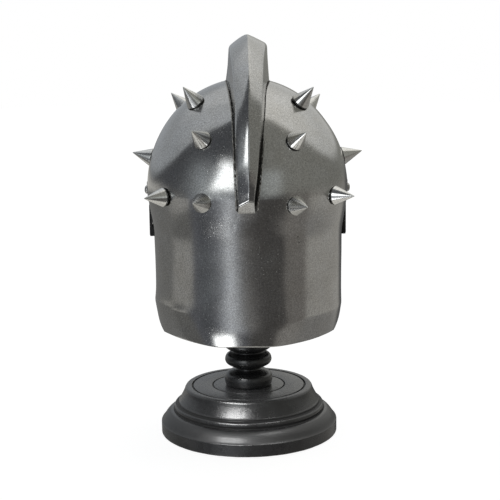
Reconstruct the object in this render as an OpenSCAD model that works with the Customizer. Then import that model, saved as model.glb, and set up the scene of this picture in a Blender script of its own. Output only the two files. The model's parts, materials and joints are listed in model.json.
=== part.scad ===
// Arena helmet of polished steel sheet, resting on a turned black stand.
// Millimetres, +Z up, origin at the centre of the stand's underside.
// The face of the helmet looks along -Y, the neck guard along +Y.

/* [Dome] */
// Half-width of the dome at its widest level
dome_r = 105.1; // [104.6:0.1:106]
// Height of the dome above its widest level
dome_h = 114.2; // [113:0.2:117]
// Height of the dome's widest level above the table
base_z = 265; // [264:0.5:266]
// Straight stretch between the rear and the front half of the plan
plan_len = 22; // [20:1:24]
// Thickness of the steel sheet
shell_t = 1.3; // [1.2:0.1:1.4]

/* [Neck guard] */
// Radius of the lower rim
rim_r = 95; // [94:0.5:97]
// Height of the lower rim
rim_z = 117; // [114:1:120]
// Radius at the crease
crease_r = 99.4; // [99.2:0.1:99.8]
// Height of the crease
crease_z = 142; // [140:1:144]
// Where the guard's front edge stands, measured along Y
edge_y = 3; // [3:0.1:3.2]
// Height of the brow's lower edge
brow_z = 250; // [250:0.5:251]

/* [Crest] */
// Thickness of the crest's sheet
crest_t = 1.2; // [1:0.1:1.5]
// Height of the crest over the top of the dome
crest_h = 45; // [42:0.5:48]

/* [Spikes] */
// Height of each cone
spike_h = 23; // [21:0.5:25]
// Radius of each cone's base
spike_r = 9.7; // [9:0.1:10]
// Radius of the fixing screw
screw_r = 2; // [1.5:0.1:2]

/* [Face doors] */
// Distance of each hinge axis from the middle
hinge_x = 101.6; // [101.5:0.1:101.8]
// Position of the hinge axes along Y
hinge_y = -1; // [-1.1:0.1:-0.9]
// Radius of the hinge barrel
barrel_r = 2.6; // [2.5:0.1:2.7]
// Radius of the hinge pin
pin_r = 1.5; // [1.4:0.1:1.5]
// Radius of each eye opening
eye_r = 20; // [18:0.5:21]
// Distance of each eye opening from the middle
eye_x = 34; // [33:0.5:35]
// Height of the eye openings
eye_z = 215; // [214.5:0.5:217]
// Half of the gap where the doors meet
door_gap = 0.4; // [0.3:0.1:0.5]
// Angle that each door opens to
door_open = 110; // [90:5:115]

// How far to the left of the stand's middle the helmet sits
sit_x = -1.3; // [-1.5:0.1:0]

/* [Stand] */
// Radius of the base
stand_r = 95; // [93:0.5:97]
// Thickness of the felt below the base
felt_t = 1; // [0.8:0.1:1.2]

/* [Hidden] */
$fn = 96;
steel = "#8d9092";
bright = "#c9ccce";
black = "#1b1b1c";
hide = "#5a3a22";
yr = 6;                     // centre of the rear half of the plan
yf = yr - plan_len;         // centre of the front half
in_t = shell_t;

// The neck guard's outline from the rim up to the dome, as radius and height.
skirt = [[rim_r, rim_z], [crease_r, crease_z], [98.9, 155], [98.9, 190], [99.2, 214],
    [99.8, 226], [101, 233], [103.2, 246.5], [104.5, 256]];
// The face doors' outline below the crease draws in towards the chin.
chin = [[89, 96], [95, 118]];

function back_to_front(v) = [for (i = [len(v) - 1:-1:0]) v[i]];
function dome_line(o, t1 = 90) =
    [for (t = [0:6:t1]) [(dome_r - o) * cos(t), base_z + (dome_h - o) * sin(t)]];
// The sheet's outline at a depth o below its outer face.
function outline(o) = concat([for (p = skirt) [p[0] - o, p[1]]], dome_line(o));
function door_outline(o) = concat([for (p = chin) [p[0] - o, p[1]]],
    [for (i = [1:len(skirt) - 1]) [skirt[i][0] - o, skirt[i][1]]], dome_line(o, 12));
function radius_at(z, o = 0) = lookup(z, [for (p = outline(o)) [p[1], p[0]]]);
function door_radius(z, o = 0) = lookup(z, [for (p = door_outline(o)) [p[1], p[0]]]);
// A strip that follows the sheet between two heights, from depth a to depth b.
function strip(z0, z1, a, b, n = 12) = concat(
    [for (i = [0:n]) let (z = z0 + (z1 - z0) * i / n) [door_radius(z, a), z]],
    [for (i = [n:-1:0]) let (z = z0 + (z1 - z0) * i / n) [door_radius(z, b), z]]);

// The plan: two half turns joined by a straight stretch.
module plan_shell(line_out, line_in) {
    band = concat(line_out, back_to_front(line_in));
    both = concat(line_out, [for (i = [len(line_out) - 2:-1:0]) [-line_out[i][0], line_out[i][1]]],
        [for (p = line_in) [-p[0], p[1]]],
        [for (i = [len(line_in) - 2:-1:0]) line_in[i]]);
    translate([0, yr, 0]) rotate_extrude(angle = 180) polygon(band);
    translate([0, yf, 0]) rotate([0, 0, 180]) rotate_extrude(angle = 180) polygon(band);
    translate([0, yr, 0]) rotate([90, 0, 0]) linear_extrude(plan_len) polygon(both);
}
module plan_band(points) {
    translate([0, yr, 0]) rotate_extrude(angle = 180) polygon(points);
    translate([0, yf, 0]) rotate([0, 0, 180]) rotate_extrude(angle = 180) polygon(points);
    for (m = [0, 1]) mirror([m, 0, 0])
        translate([0, yr, 0]) rotate([90, 0, 0]) linear_extrude(plan_len) polygon(points);
}
// A piece of constant outline along X, drawn in the Y-Z plane.
module along_x(x0, x1) {
    translate([x0, 0, 0]) rotate([90, 0, 90]) linear_extrude(x1 - x0) children();
}
// A piece of constant outline along Y, drawn in the X-Z plane.
module along_y(y0, y1) {
    translate([0, y1, 0]) rotate([90, 0, 0]) linear_extrude(y1 - y0) children();
}

// Spikes: angle from the rear, height, and how much each leans up. The rows are set by hand
// and are not quite alike on the two sides. The left side, +X, has the positive angles.
low_row = [[53.3, 265, 2], [-57, 264, 1], [25, 263, 4], [-27.3, 259, 3]];
mid_row = [[28.6, 322.7, 0], [-31.4, 320.3, 0], [96, 295.4, 0], [-94, 295, 0], [150, 322, 0], [-150, 322, 0]];
top_row = [[54, 356.5, -3], [-58.5, 355.5, -5], [114.5, 347, 0], [-119.5, 344, 0]];
function spot_y(a) = abs(a) < 90 ? yr : yf;
function spot(s) = let (r = radius_at(s[1])) [r * sin(s[0]), spot_y(s[0]) + r * cos(s[0]), s[1]];
function true_spot(s) = s[1] < base_z ? spot(s) :
    let (r = dome_r * sqrt(1 - pow((s[1] - base_z) / dome_h, 2)))
    [r * sin(s[0]), spot_y(s[0]) + r * cos(s[0]), s[1]];
function lean(s) = s[2] + (s[1] < base_z ? 0 :
    atan(dome_r / dome_h * (s[1] - base_z) / dome_h / sqrt(1 - pow((s[1] - base_z) / dome_h, 2))));
// Moves to a spike's foot, with +Z along the spike.
module at_spot(s) {
    translate(true_spot(s)) rotate([0, 0, 90 - s[0]]) rotate([0, 90 - lean(s), 0]) children();
}

module cone_spike(lift) {
    translate([0, 0, lift]) rotate_extrude()
        polygon([[screw_r + 0.05, 0], [spike_r, 0], [spike_r, 1.5], [spike_r - 0.5, 1.9],
            [spike_r - 0.5, 2.3], [spike_r - 0.1, 2.7], [0.7, spike_h - 0.5], [0.3, spike_h],
            [0, spike_h], [0, 12], [screw_r + 0.05, 12]]);
}
module spikes(row) {
    for (s = row) at_spot(s) cone_spike((s[1] < 262 ? 0.45 : 0.1) + abs(s[2]) * 0.17);
}
// The leather band lies between the sheet and the washer on the low row.
function screw_seat(s) = -in_t - 0.35 - (s[1] < 270 ? 4.2 : abs(s[2]) * 0.08);
module spike_screws() {
    color(steel) for (s = concat(low_row, mid_row, top_row)) at_spot(s)
        translate([0, 0, screw_seat(s) - 0.85]) {
            translate([0, 0, -1]) cylinder(r = screw_r, h = 12 - screw_seat(s));
            translate([0, 0, -1.9]) rotate_extrude()
                polygon([[0, 0], [2.6, 0], [3.7, 0.7], [3.9, 1.85], [0, 1.85]]);
        }
}
module spike_washers() {
    color(bright) for (s = concat(low_row, mid_row, top_row)) at_spot(s)
        translate([0, 0, screw_seat(s) - 0.8]) difference() {
            cylinder(r = 4.8, h = 0.8);
            translate([0, 0, -1]) cylinder(r = screw_r + 0.15, h = 3);
        }
}
module screw_holes(r) {
    for (s = concat(low_row, mid_row, top_row)) at_spot(s)
        translate([0, 0, -9]) cylinder(r = r, h = 14);
}

// A radial rivet on the front half, at angle a from the front and height z.
module at_front(a, z, r) {
    translate([0, yf, z]) rotate([0, 0, a - 90]) translate([r, 0, 0]) rotate([0, 90, 0]) children();
}
// A rivet across the side, with +Z pointing outwards.
module at_side(side, y, z, r) {
    translate([side * r, y, z]) rotate([0, side * 90, 0]) children();
}
module round_head(r, h) {
    rotate_extrude() polygon([[0, 0], [r, 0], [r * 0.97, h * 0.35], [r * 0.83, h * 0.65],
        [r * 0.58, h * 0.88], [r * 0.3, h * 0.97], [0, h]]);
}
brow_angles = [-78, -52, -26, 0, 26, 52, 78];
brow_rz = 261;

module skull_shell() {
    color(steel) difference() {
        plan_shell(outline(0), outline(in_t));
        // the face opening, the guard's front edge and its slanting lower corners
        along_x(-130, 130) polygon([[-150, 50], [-150, brow_z], [edge_y, brow_z],
            [edge_y, crease_z], [36, rim_z - 1], [36, 50]]);
        screw_holes(screw_r + 0.2);
        for (a = brow_angles) at_front(a, brow_rz, 95) cylinder(r = 1.6, h = 15);
        for (side = [-1, 1]) {
            at_side(side, 5.4, 265, 95) cylinder(r = 2.1, h = 15);
            at_side(side, 8, 230, 92) cylinder(r = 1.6, h = 15);
        }
    }
}

// The crest is one folded channel. Stations run over the dome from the rear foot to the brow;
// each is a flat section whose lower edges meet the dome.
crest_n = 46;
mid_y = (yr + yf) / 2;
function dome_mid(a) = let (
        sr = mid_root(a, yr), sf = mid_root(a, yf), yrr = mid_y + sr * cos(a), yff = mid_y + sf * cos(a))
    yrr > yr ? [yrr, base_z + sr * sin(a)] : yff < yf ? [yff, base_z + sf * sin(a)]
    : [mid_y + dome_h / tan(a), base_z + dome_h];
function mid_root(a, yc) = let (
        A = pow(cos(a) / dome_r, 2) + pow(sin(a) / dome_h, 2),
        B = 2 * (mid_y - yc) * cos(a) / pow(dome_r, 2),
        C = pow((mid_y - yc) / dome_r, 2) - 1)
    (-B + sqrt(B * B - 4 * A * C)) / (2 * A);
// Distance along direction f from the point p to where the dome stands at half-width x.
function side_root(p, f, x) = let (
        yc = p[0] > yr ? yr : p[0] < yf ? yf : p[0],
        A = pow(p[0] == yc ? 0 : cos(f) / dome_r, 2) + pow(sin(f) / dome_h, 2),
        B = 2 * ((p[0] - yc) * cos(f) / pow(dome_r, 2) + (p[1] - base_z) * sin(f) / pow(dome_h, 2)),
        C = pow((p[0] - yc) / dome_r, 2) + pow((p[1] - base_z) / dome_h, 2) - 1 + pow(x / dome_r, 2))
    (-B + sqrt(max(0, B * B - 4 * A * C))) / (2 * A);
foot_a = -5;
front_a = 168;
function crest_a(i) = foot_a + (front_a - foot_a) * i / crest_n;
function crest_lean(a) = lookup(a, [[-5, 56], [4, 30], [14, 12], [30, 3], [60, 0], [120, 0], [150, -6], [168, -30]]);
function crest_hw(a) = lookup(a, [[-5, 8], [0, 8.8], [10, 10.7], [24, 12.8], [39, 15.3], [48, 16.8],
    [64, 18.9], [80, 21], [95, 22.4], [110, 22.9], [130, 21.5], [150, 17], [168, 11]]);
function crest_rise(a) = crest_h * lookup(a, [[-5, 0.33], [4, 0.34], [20, 0.46], [40, 0.66], [60, 0.84], [80, 0.96],
    [95, 1.01], [110, 1.02], [130, 0.94], [150, 0.72], [168, 0.42]]);
// The crest was welded on by eye: its top stands a little to the right of the middle.
crest_skew = [[-5, -0.8], [20, -1.4], [50, -2.4], [90, -2.9], [168, -2.9]];
// Points across one station: half-width and distance from the dome, outside then inside.
function crest_ring(i) = let (
        a = crest_a(i), f = a + crest_lean(a), p = dome_mid(a), w = crest_hw(a), h = crest_rise(a),
        k0 = lookup(a, crest_skew), ws = w - lookup(a, [[0, 0.7], [30, 1.2], [64, 2.6], [85, 2], [120, 1.6], [168, 0.6]]),
        roof = ws * 0.62, t = crest_t,
        q = [[-w, side_root(p, f, k0 - w) + 0.2], [-ws, h - roof], [0, h], [ws, h - roof],
            [w, side_root(p, f, k0 + w) + 0.2], [w - t, side_root(p, f, k0 + w - t) + 0.2],
            [ws - t, h - roof - 0.5 * t], [0, h - 1.3 * t], [t - ws, h - roof - 0.5 * t],
            [t - w, side_root(p, f, k0 - w + t) + 0.2]])
    [for (k = q) [k0 + k[0], p[0] + k[1] * cos(f), p[1] + k[1] * sin(f)]];
module crest() {
    pts = [for (i = [0:crest_n]) each crest_ring(i)];
    last = crest_n * 10;
    // the foot and the brow end are closed by the folds' own flat ends
    faces = concat(
        [for (i = [0:crest_n - 1], k = [0:9]) each [
            [i * 10 + k, i * 10 + (k + 1) % 10, (i + 1) * 10 + k],
            [i * 10 + (k + 1) % 10, (i + 1) * 10 + (k + 1) % 10, (i + 1) * 10 + k]]],
        [for (c = [[0, 9, 1], [1, 9, 8], [1, 8, 2], [2, 8, 7], [2, 7, 3], [3, 7, 6], [3, 6, 4], [4, 6, 5]])
            each [c, [last + c[2], last + c[1], last + c[0]]]]);
    color(steel) polyhedron(points = pts, faces = faces);
}

// The brow plate doubles the sheet over the face opening.
module brow_plate() {
    color(steel) difference() {
        union() {
            pts = concat(
                [for (z = [brow_z + 0.5, 256, base_z]) [radius_at(z) + 0.15, z]], [[105.05, 271.5]],
                [[106.3, 271.8]], [for (z = [base_z, 256, brow_z + 0.5]) [radius_at(z) + 1.5, z]]);
            translate([0, yf, 0]) rotate([0, 0, 180]) rotate_extrude(angle = 180) polygon(pts);
            for (m = [0, 1]) mirror([m, 0, 0]) along_y(yf, -7) polygon(pts);
        }
        for (a = brow_angles) at_front(a, brow_rz, 95) cylinder(r = 1.6, h = 15);
    }
}
module brow_rivets() {
    r = radius_at(brow_rz);
    color(bright) for (a = brow_angles) at_front(a, brow_rz, r) {
        translate([0, 0, 2]) round_head(4, 2.2);
        translate([0, 0, -5.6]) cylinder(r = 1.5, h = 7.8);
        translate([0, 0, -5.9]) cylinder(r = 2.8, h = 1);
    }
}

// Hinges. The fixed leaf lies inside the guard's edge and carries the two outer knuckles.
kn = [[216, 224.7], [225, 239], [239.3, 248]];
module knuckle(z0, z1, y0, y1, x0) {
    translate([hinge_x, hinge_y, z0]) cylinder(r = barrel_r, h = z1 - z0);
    translate([x0, y0, z0]) cube([hinge_x - x0, y1 - y0, z1 - z0]);
}
module hinge_fixed(side) {
    mirror([side < 0 ? 1 : 0, 0, 0]) difference() {
        union() {
            along_y(edge_y + 0.2, 11.4) polygon(strip(216, 274, in_t + 0.2, in_t + 1.35));
            for (k = [0, 2]) {
                along_y(0, edge_y + 1) polygon(strip(kn[k][0], kn[k][1], in_t + 0.2, in_t + 1.35, 4));
                knuckle(kn[k][0], kn[k][1], hinge_y, edge_y - 0.3, radius_at(kn[k][0], in_t + 1.35));
            }
        }
        translate([hinge_x, hinge_y, 210]) cylinder(r = pin_r + 0.02, h = 45);
        at_side(1, 5.4, 265, 95) cylinder(r = 2.05, h = 15);
        at_side(1, 8, 230, 92) cylinder(r = 1.55, h = 15);
    }
}
module hinge_fixed_left() { color(steel) hinge_fixed(1); }
module hinge_fixed_right() { color(steel) hinge_fixed(-1); }
module hinge_pin(side) {
    translate([side * hinge_x, hinge_y, 0]) {
        translate([0, 0, 215.5]) cylinder(r = pin_r, h = 33);
        translate([0, 0, 214.6]) cylinder(r = 2.3, h = 1.3);
        translate([0, 0, 248.1]) cylinder(r = 2.3, h = 1.1);
    }
}
module hinge_pin_left() { color(bright) hinge_pin(1); }
module hinge_pin_right() { color(bright) hinge_pin(-1); }
module temple_rivets() {
    color(bright) for (side = [-1, 1]) at_side(side, 5.4, 265, dome_r) {
        translate([0, 0, 0.1]) round_head(4.5, 2.7);
        translate([0, 0, -in_t - 1.3]) cylinder(r = 2, h = in_t + 1.5);
    }
}
module neck_rivets() {
    r = radius_at(230);
    color(steel) for (side = [-1, 1]) at_side(side, 8, 230, r) {
        translate([0, 0, -in_t - 2.1]) cylinder(r = 1.5, h = in_t + 1.9);
        translate([0, 0, -in_t - 2.8]) cylinder(r = 2.6, h = 0.85);
    }
}

// The leather lining: a headband, a cap of tongues and the lace that gathers them.
module liner_band() {
    a = in_t + 1.5;
    b = a + 1.8;
    color(hide) difference() {
        plan_band([[radius_at(252, a), 252], [radius_at(258, a), 258], [radius_at(265, a), 265],
            [radius_at(274, a), 274], [radius_at(282, a), 282], [radius_at(282, b), 282],
            [radius_at(274, b), 274], [radius_at(265, b), 265], [radius_at(258, b), 258],
            [radius_at(252, b), 252]]);
        for (s = low_row) at_spot(s) translate([0, 0, -9]) cylinder(r = screw_r + 0.3, h = 14);
        for (a = brow_angles) at_front(a, brow_rz, 95) cylinder(r = 1.7, h = 15);
    }
}
cap_r = 99.6;
cap_h = 103.5;
cap_line = [for (t = [9, 15, 21, 27, 33, 39, 45, 51, 57, 63, 69, 75, 81, 90]) t];
// The cap is sewn from a rear and a front half, which meet edge to edge.
module liner_crown_back() {
    color(hide) intersection() {
        liner_cap();
        translate([-130, mid_y, 200]) cube([260, 150, 200]);
    }
}
module liner_crown_front() {
    color(hide) intersection() {
        liner_cap();
        translate([-130, mid_y - 150, 200]) cube([260, 150, 200]);
    }
}
module liner_cap() {
    difference() {
        plan_shell([for (t = cap_line) [cap_r * cos(t), base_z + cap_h * sin(t)]],
            [for (t = cap_line) [(cap_r - 1.8) * cos(t), base_z + (cap_h - 1.8) * sin(t)]]);
        // the hole over the crown
        for (y = [yr, yf]) translate([0, y, 330]) cylinder(r = 26, h = 50);
        translate([-26, yf, 330]) cube([52, plan_len, 50]);
        // the slits between the tongues
        for (k = [0:7]) translate([0, mid_y, 0]) rotate([0, 0, 22.5 + 45 * k])
            along_x(18, 118) polygon([[-1.5, 300], [1.5, 300], [6.5, 375], [-6.5, 375]]);
    }
}
module liner_lace() {
    t = acos(33 / cap_r);
    color(hide) {
        for (y = [yr, yf]) translate([0, y, base_z + (cap_h + 1.9) * sin(t)]) rotate([0, 0, y == yr ? 0 : 180])
            rotate_extrude(angle = 180) translate([33.5, 0]) circle(r = 1.3, $fn = 32);
        for (x = [-33.5, 33.5]) translate([x, yr, base_z + (cap_h + 1.9) * sin(t)]) rotate([90, 0, 0])
            cylinder(r = 1.3, h = plan_len, $fn = 32);
    }
}

// The face doors. Each runs from its hinge to the middle of the face.
door_top = brow_z - 1.2;
door_y = -4.2;
module door_sheet(a, b, z0 = 97, z1 = door_top) {
    pts = let (zs = concat([z0], [for (p = door_outline(0)) if (p[1] > z0 + 0.5 && p[1] < z1 - 0.5) p[1]], [z1]))
        concat([for (z = zs) [door_radius(z, a), z]],
            [for (i = [len(zs) - 1:-1:0]) [door_radius(zs[i], b), zs[i]]]);
    translate([0, yf, 0]) rotate([0, 0, -90]) rotate_extrude(angle = 90) polygon(pts);
    along_y(yf, door_y) polygon(pts);
}
module chin_cut() {
    along_x(-1, 130) polygon([[10, 80], [10, 130], [door_y, 129], [-60, 118], [-100, 103], [-130, 99], [-140, 80]]);
}
eye_rivets = [45, 135, 225, 315];
function on_door(x) = asin(x / 99.8);
function door_slope(z) = atan((door_radius(z + 2) - door_radius(z - 2)) / 4);
module at_eye_rivet(t) {
    x = eye_x + (eye_r + 3.6) * cos(t);
    z = eye_z + (eye_r + 3.6) * sin(t);
    at_front(on_door(x), z, door_radius(z)) rotate([0, door_slope(z), 0]) children();
}
module at_rib_rivet(z) {
    at_front(on_door(4.6), z, door_radius(z)) rotate([0, door_slope(z), 0]) children();
}
rib_z = [112, 142, 184, 206, 238];
breath = [[24, 134], [34, 134], [44, 134], [54, 134], [29, 146], [39, 146], [49, 146], [59, 146],
    [24, 158], [34, 158], [44, 158], [54, 158]];
module visor_plate() {
    difference() {
        door_sheet(0, in_t);
        translate([-20, -150, 80]) cube([20 + door_gap, 100, 190]);
        chin_cut();
        translate([eye_x, -60, eye_z]) rotate([90, 0, 0]) cylinder(r = eye_r, h = 80);
        for (t = eye_rivets) at_eye_rivet(t) translate([0, 0, -6]) cylinder(r = 1.3, h = 12);
        for (b = breath) translate([b[0], -60, b[1]]) rotate([90, 0, 0]) cylinder(r = 2.1, h = 80, $fn = 32);
        for (z = rib_z) at_rib_rivet(z) translate([0, 0, -6]) cylinder(r = 1.3, h = 12);
        for (z = [212, 244]) at_side(1, -10, z, 92) cylinder(r = 1.6, h = 15);
    }
}
module visor_plate_left() {
    color(steel) difference() {
        visor_plate();
        for (z = [161.5, 168.5]) translate([20.5, -60, z]) rotate([90, 0, 0]) cylinder(r = 1.3, h = 80);
    }
}
module visor_plate_right() {
    color(steel) difference() {
        mirror([1, 0, 0]) visor_plate();
        translate([-catch_x, -60, catch_z]) rotate([90, 0, 0]) cylinder(r = 2.1, h = 80);
    }
}
module hinge_leaf() {
    difference() {
        union() {
            along_y(-14, door_y) polygon(strip(206, 247, in_t + 0.15, in_t + 1.35));
            along_y(-6, -2.6) polygon(strip(kn[1][0], kn[1][1], in_t + 0.15, in_t + 1.35, 4));
            knuckle(kn[1][0], kn[1][1], door_y + 0.3, hinge_y, radius_at(kn[1][0], in_t + 1.35));
        }
        translate([hinge_x, hinge_y, 210]) cylinder(r = pin_r + 0.12, h = 45);
        for (z = [212, 244]) at_side(1, -10, z, 92) cylinder(r = 1.55, h = 15);
    }
}
module hinge_leaf_left() { color(steel) hinge_leaf(); }
module hinge_leaf_right() { color(steel) mirror([1, 0, 0]) hinge_leaf(); }
module leaf_rivets() {
    for (z = [212, 244]) at_side(1, -10, z, radius_at(z)) {
        translate([0, 0, -in_t - 2.1]) cylinder(r = 1.5, h = in_t + 1.9);
        translate([0, 0, -in_t - 2.8]) cylinder(r = 2.6, h = 0.85);
    }
}
module leaf_rivets_left() { color(steel) leaf_rivets(); }
module leaf_rivets_right() { color(steel) mirror([1, 0, 0]) leaf_rivets(); }
module eye_grille() {
    difference() {
        intersection() {
            translate([0, yf, 0]) rotate([0, 0, -90]) rotate_extrude(angle = 60)
                polygon(strip(eye_z - 30, 243, in_t + 0.15, in_t + 1.15, 14));
            translate([eye_x, -60, eye_z]) rotate([90, 0, 0]) cylinder(r = eye_r + 7, h = 80);
        }
        for (i = [-2:2], j = [-2:2]) let (x = i * 7.4 + (abs(j) % 2) * 3.7, z = j * 6.4)
            if (x * x + z * z < 15.5 * 15.5)
                translate([eye_x + x, -60, eye_z + z]) rotate([90, 0, 0]) cylinder(r = 2.5, h = 80, $fn = 32);
        for (t = eye_rivets) at_eye_rivet(t) translate([0, 0, -6]) cylinder(r = 1.25, h = 12);
    }
}
module eye_grille_left() { color(steel) eye_grille(); }
module eye_grille_right() { color(steel) mirror([1, 0, 0]) eye_grille(); }
module grille_rivets() {
    for (t = eye_rivets) at_eye_rivet(t) {
        translate([0, 0, 0.25]) round_head(2.6, 1.3);
        translate([0, 0, -in_t - 1.7]) cylinder(r = 1.2, h = in_t + 2);
        translate([0, 0, -in_t - 2.4]) cylinder(r = 2, h = 0.8);
    }
}
module grille_rivets_left() { color(bright) grille_rivets(); }
module grille_rivets_right() { color(bright) mirror([1, 0, 0]) grille_rivets(); }
// Ribs stiffen the edges where the doors meet.
module rib() {
    difference() {
        intersection() {
            door_sheet(-1.6, -0.15, 102, door_top - 0.8);
            translate([door_gap, -150, 90]) cube([8.4, 100, 170]);
        }
        for (z = rib_z) at_rib_rivet(z) translate([0, 0, -6]) cylinder(r = 1.3, h = 12);
    }
}
module rib_left() { color(steel) rib(); }
module rib_right() { color(steel) mirror([1, 0, 0]) rib(); }
module rib_rivets() {
    for (z = rib_z) at_rib_rivet(z) {
        translate([0, 0, 1.75]) round_head(2.5, 1.1);
        translate([0, 0, -in_t - 0.6]) cylinder(r = 1.2, h = in_t + 2.5);
        translate([0, 0, -in_t - 1.35]) cylinder(r = 2, h = 0.85);
    }
}
module rib_rivets_left() { color(bright) rib_rivets(); }
module rib_rivets_right() { color(bright) mirror([1, 0, 0]) rib_rivets(); }

// The catch: a turn button on the right door that slips behind a keeper on the left one.
catch_x = 14;
catch_z = 165;
face_y = yf - 98.9;         // how far forward the doors' middle stands
module door_body() { translate([0, yf, 140]) cylinder(r = 98.95, h = 50); }
module catch_pivot() {
    color(bright) {
        difference() {
            translate([-catch_x, face_y, catch_z]) rotate([90, 0, 0]) translate([0, 0, -3]) cylinder(r = 4.4, h = 6.2);
            door_body();
        }
        translate([-catch_x, face_y, catch_z]) rotate([90, 0, 0]) {
            translate([0, 0, -3.9]) cylinder(r = 2, h = 11);
            translate([0, 0, 5.9]) round_head(4, 1.9);
            translate([0, 0, -4.2]) cylinder(r = 3.2, h = 1);
        }
    }
}
module catch_button() {
    color(bright) translate([-catch_x, face_y, catch_z]) rotate([90, 0, 0]) translate([0, 0, 3.4])
        difference() {
            union() {
                cylinder(r = 5.2, h = 2.3);
                translate([-3.6, -11, 0]) cube([7.2, 40, 2.3]);
                translate([0, 29, 0]) cylinder(r = 3.6, h = 2.3);
                translate([0, -12, 0]) cylinder(r = 4.6, h = 2.3);
            }
            translate([0, 0, -1]) cylinder(r = 2.15, h = 5);
        }
}
module catch_keeper() {
    color(bright) difference() {
        union() {
            // foot against the door, riser and the lip that holds the button
            translate([20.5, face_y, catch_z]) rotate([90, 0, 0]) {
                translate([1.4, -6.5, -5]) cube([3.4, 13, 12.7]);
                translate([-7.5, -6.5, 6.2]) cube([12.3, 13, 1.5]);
                translate([-2.2, -6.5, -5]) cube([7, 13, 6.2]);
            }
        }
        door_body();
        for (z = [161.5, 168.5]) translate([20.5, -60, z]) rotate([90, 0, 0]) cylinder(r = 1.25, h = 54.6);
    }
}
module keeper_rivets() {
    color(bright) for (z = [161.5, 168.5]) translate([20.5, 0, z]) rotate([90, 0, 0]) {
        translate([0, 0, 109.6]) cylinder(r = 1.2, h = 4.8);
        translate([0, 0, 109]) cylinder(r = 2.2, h = 1);
    }
}

// The turned stand.
module stand_base() {
    color(black) difference() {
        rotate_extrude() polygon([[0, felt_t], [stand_r - 0.7, felt_t], [stand_r, felt_t + 0.8],
            [stand_r, 12.6], [stand_r - 0.4, 14.4], [stand_r - 1.2, 16.2], [92.4, 18.6],
            [90.2, 21], [87.4, 23.2], [84.4, 24.8], [81.6, 25.4], [80.2, 25.2], [80.2, 26.6],
            [80.8, 27.6], [80.9, 29.4], [80.3, 31.4], [79, 33], [77.4, 33.6], [77.4, 34.6],
            [75.6, 35], [74.6, 36.2], [72.8, 39.4], [71.2, 42.6], [69.7, 45.8], [68.4, 48.6],
            [67.2, 50.1], [66, 50.7],
            [61.5, 50.7], [61.2, 49.3], [60.2, 49.3], [59.9, 50.7],
            [39.5, 50.7], [39.2, 49.3], [38.3, 49.3], [38, 50.7], [0, 50.7]]);
        translate([0, 0, 30]) cylinder(r = 12, h = 30);
        translate([0, 0, -1]) cylinder(r = 4.3, h = 60);
        translate([0, 0, -1]) cylinder(r = 12.5, h = 15);
    }
}
module base_felt() {
    color("#2a2a2a") cylinder(r = stand_r - 1.5, h = felt_t - 0.05);
}
module stand_post() {
    color(black) difference() {
        rotate_extrude() polygon([[0, 30.2], [11.9, 30.2], [11.9, 50.75], [23.8, 50.75],
            [25, 52.4], [25.7, 55], [25.9, 58.5], [25.4, 61.5], [24, 64], [21, 65.9],
            [17.6, 67], [14.6, 68.2], [13.9, 69.4], [14.6, 70.7], [17.6, 71.9], [21.2, 73.3],
            [24, 75.4], [25.3, 78.4], [24.9, 81.6], [23.6, 84.4], [20.6, 86.4], [17.6, 87.6],
            [17.6, 88.8], [20, 90], [23.4, 91.6], [25.6, 94], [26.4, 97], [25.4, 102], [22.6, 108], [19.4, 118], [17.2, 132],
            [16, 150], [15.4, 175], [15.8, 200], [17.2, 225], [18.8, 248], [19.4, 262],
            [18.4, 276], [16.2, 288], [15.4, 294], [18, 297], [19.6, 300.5], [18.6, 304.5],
            [15.6, 307.5], [15, 313], [16.4, 322], [19.6, 330], [22, 335], [10, 335],
            [10, 350], [0, 350]]);
        translate([0, 0, 29]) cylinder(r = 4.05, h = 66);
        translate([0, 0, 318]) cylinder(r = 2.1, h = 40);
    }
}
pad_r = 95.2;
pad_h = 97.6;
function pad_z(r, o = 0) = base_z + (pad_h + o) * sqrt(1 - pow(r / (pad_r + o), 2));
module stand_head() {
    color(black) difference() {
        rotate_extrude() polygon(concat([[0, 335.1], [22, 335.1], [32, 337], [40, 340.6], [44.6, 345],
            [46, 349], [45.2, pad_z(45.2)]], [for (r = [40:-8:0]) [r, pad_z(r)]]));
        translate([0, 0, 334]) cylinder(r = 10.1, h = 16.2);
        translate([0, 0, 340]) cylinder(r = 2.6, h = 40);
        translate([0, 0, 357.2]) rotate_extrude() polygon([[0, 0], [2.6, 0], [5.6, 3.4], [5.6, 9], [0, 9]]);
    }
}
module head_pad() {
    color("#3a3a3c") rotate_extrude() polygon(concat([for (r = [0, 8, 16, 24, 32, 40, 45]) [r, pad_z(r) + 0.15]],
        [for (r = [45, 40, 32, 24, 16, 8, 0]) [r, pad_z(r, 2.6)]]));
}
module base_bolt() {
    color(steel) {
        translate([0, 0, 6.6]) cylinder(r = 7.4, h = 5.3, $fn = 6);
        translate([0, 0, 11.8]) cylinder(r = 4, h = 80);
    }
}
module base_washer() {
    color(bright) difference() {
        translate([0, 0, 12]) cylinder(r = 11.5, h = 1.9);
        translate([0, 0, 10]) cylinder(r = 4.2, h = 6);
    }
}
module head_screw() {
    color(steel) {
        translate([0, 0, 319]) cylinder(r = 2, h = 40);
        translate([0, 0, 357.4]) rotate_extrude() polygon([[0, 0], [2.4, 0], [5.4, 3.4], [5.4, 4.2], [0, 4.2]]);
    }
}
module spikes_lower() { color(bright) spikes(low_row); }
module spikes_middle() { color(bright) spikes(mid_row); }
module spikes_upper() { color(bright) spikes(top_row); }

// The helmet as it sits on the stand.
module seated() { translate([sit_x, 0, 0]) children(); }

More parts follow.
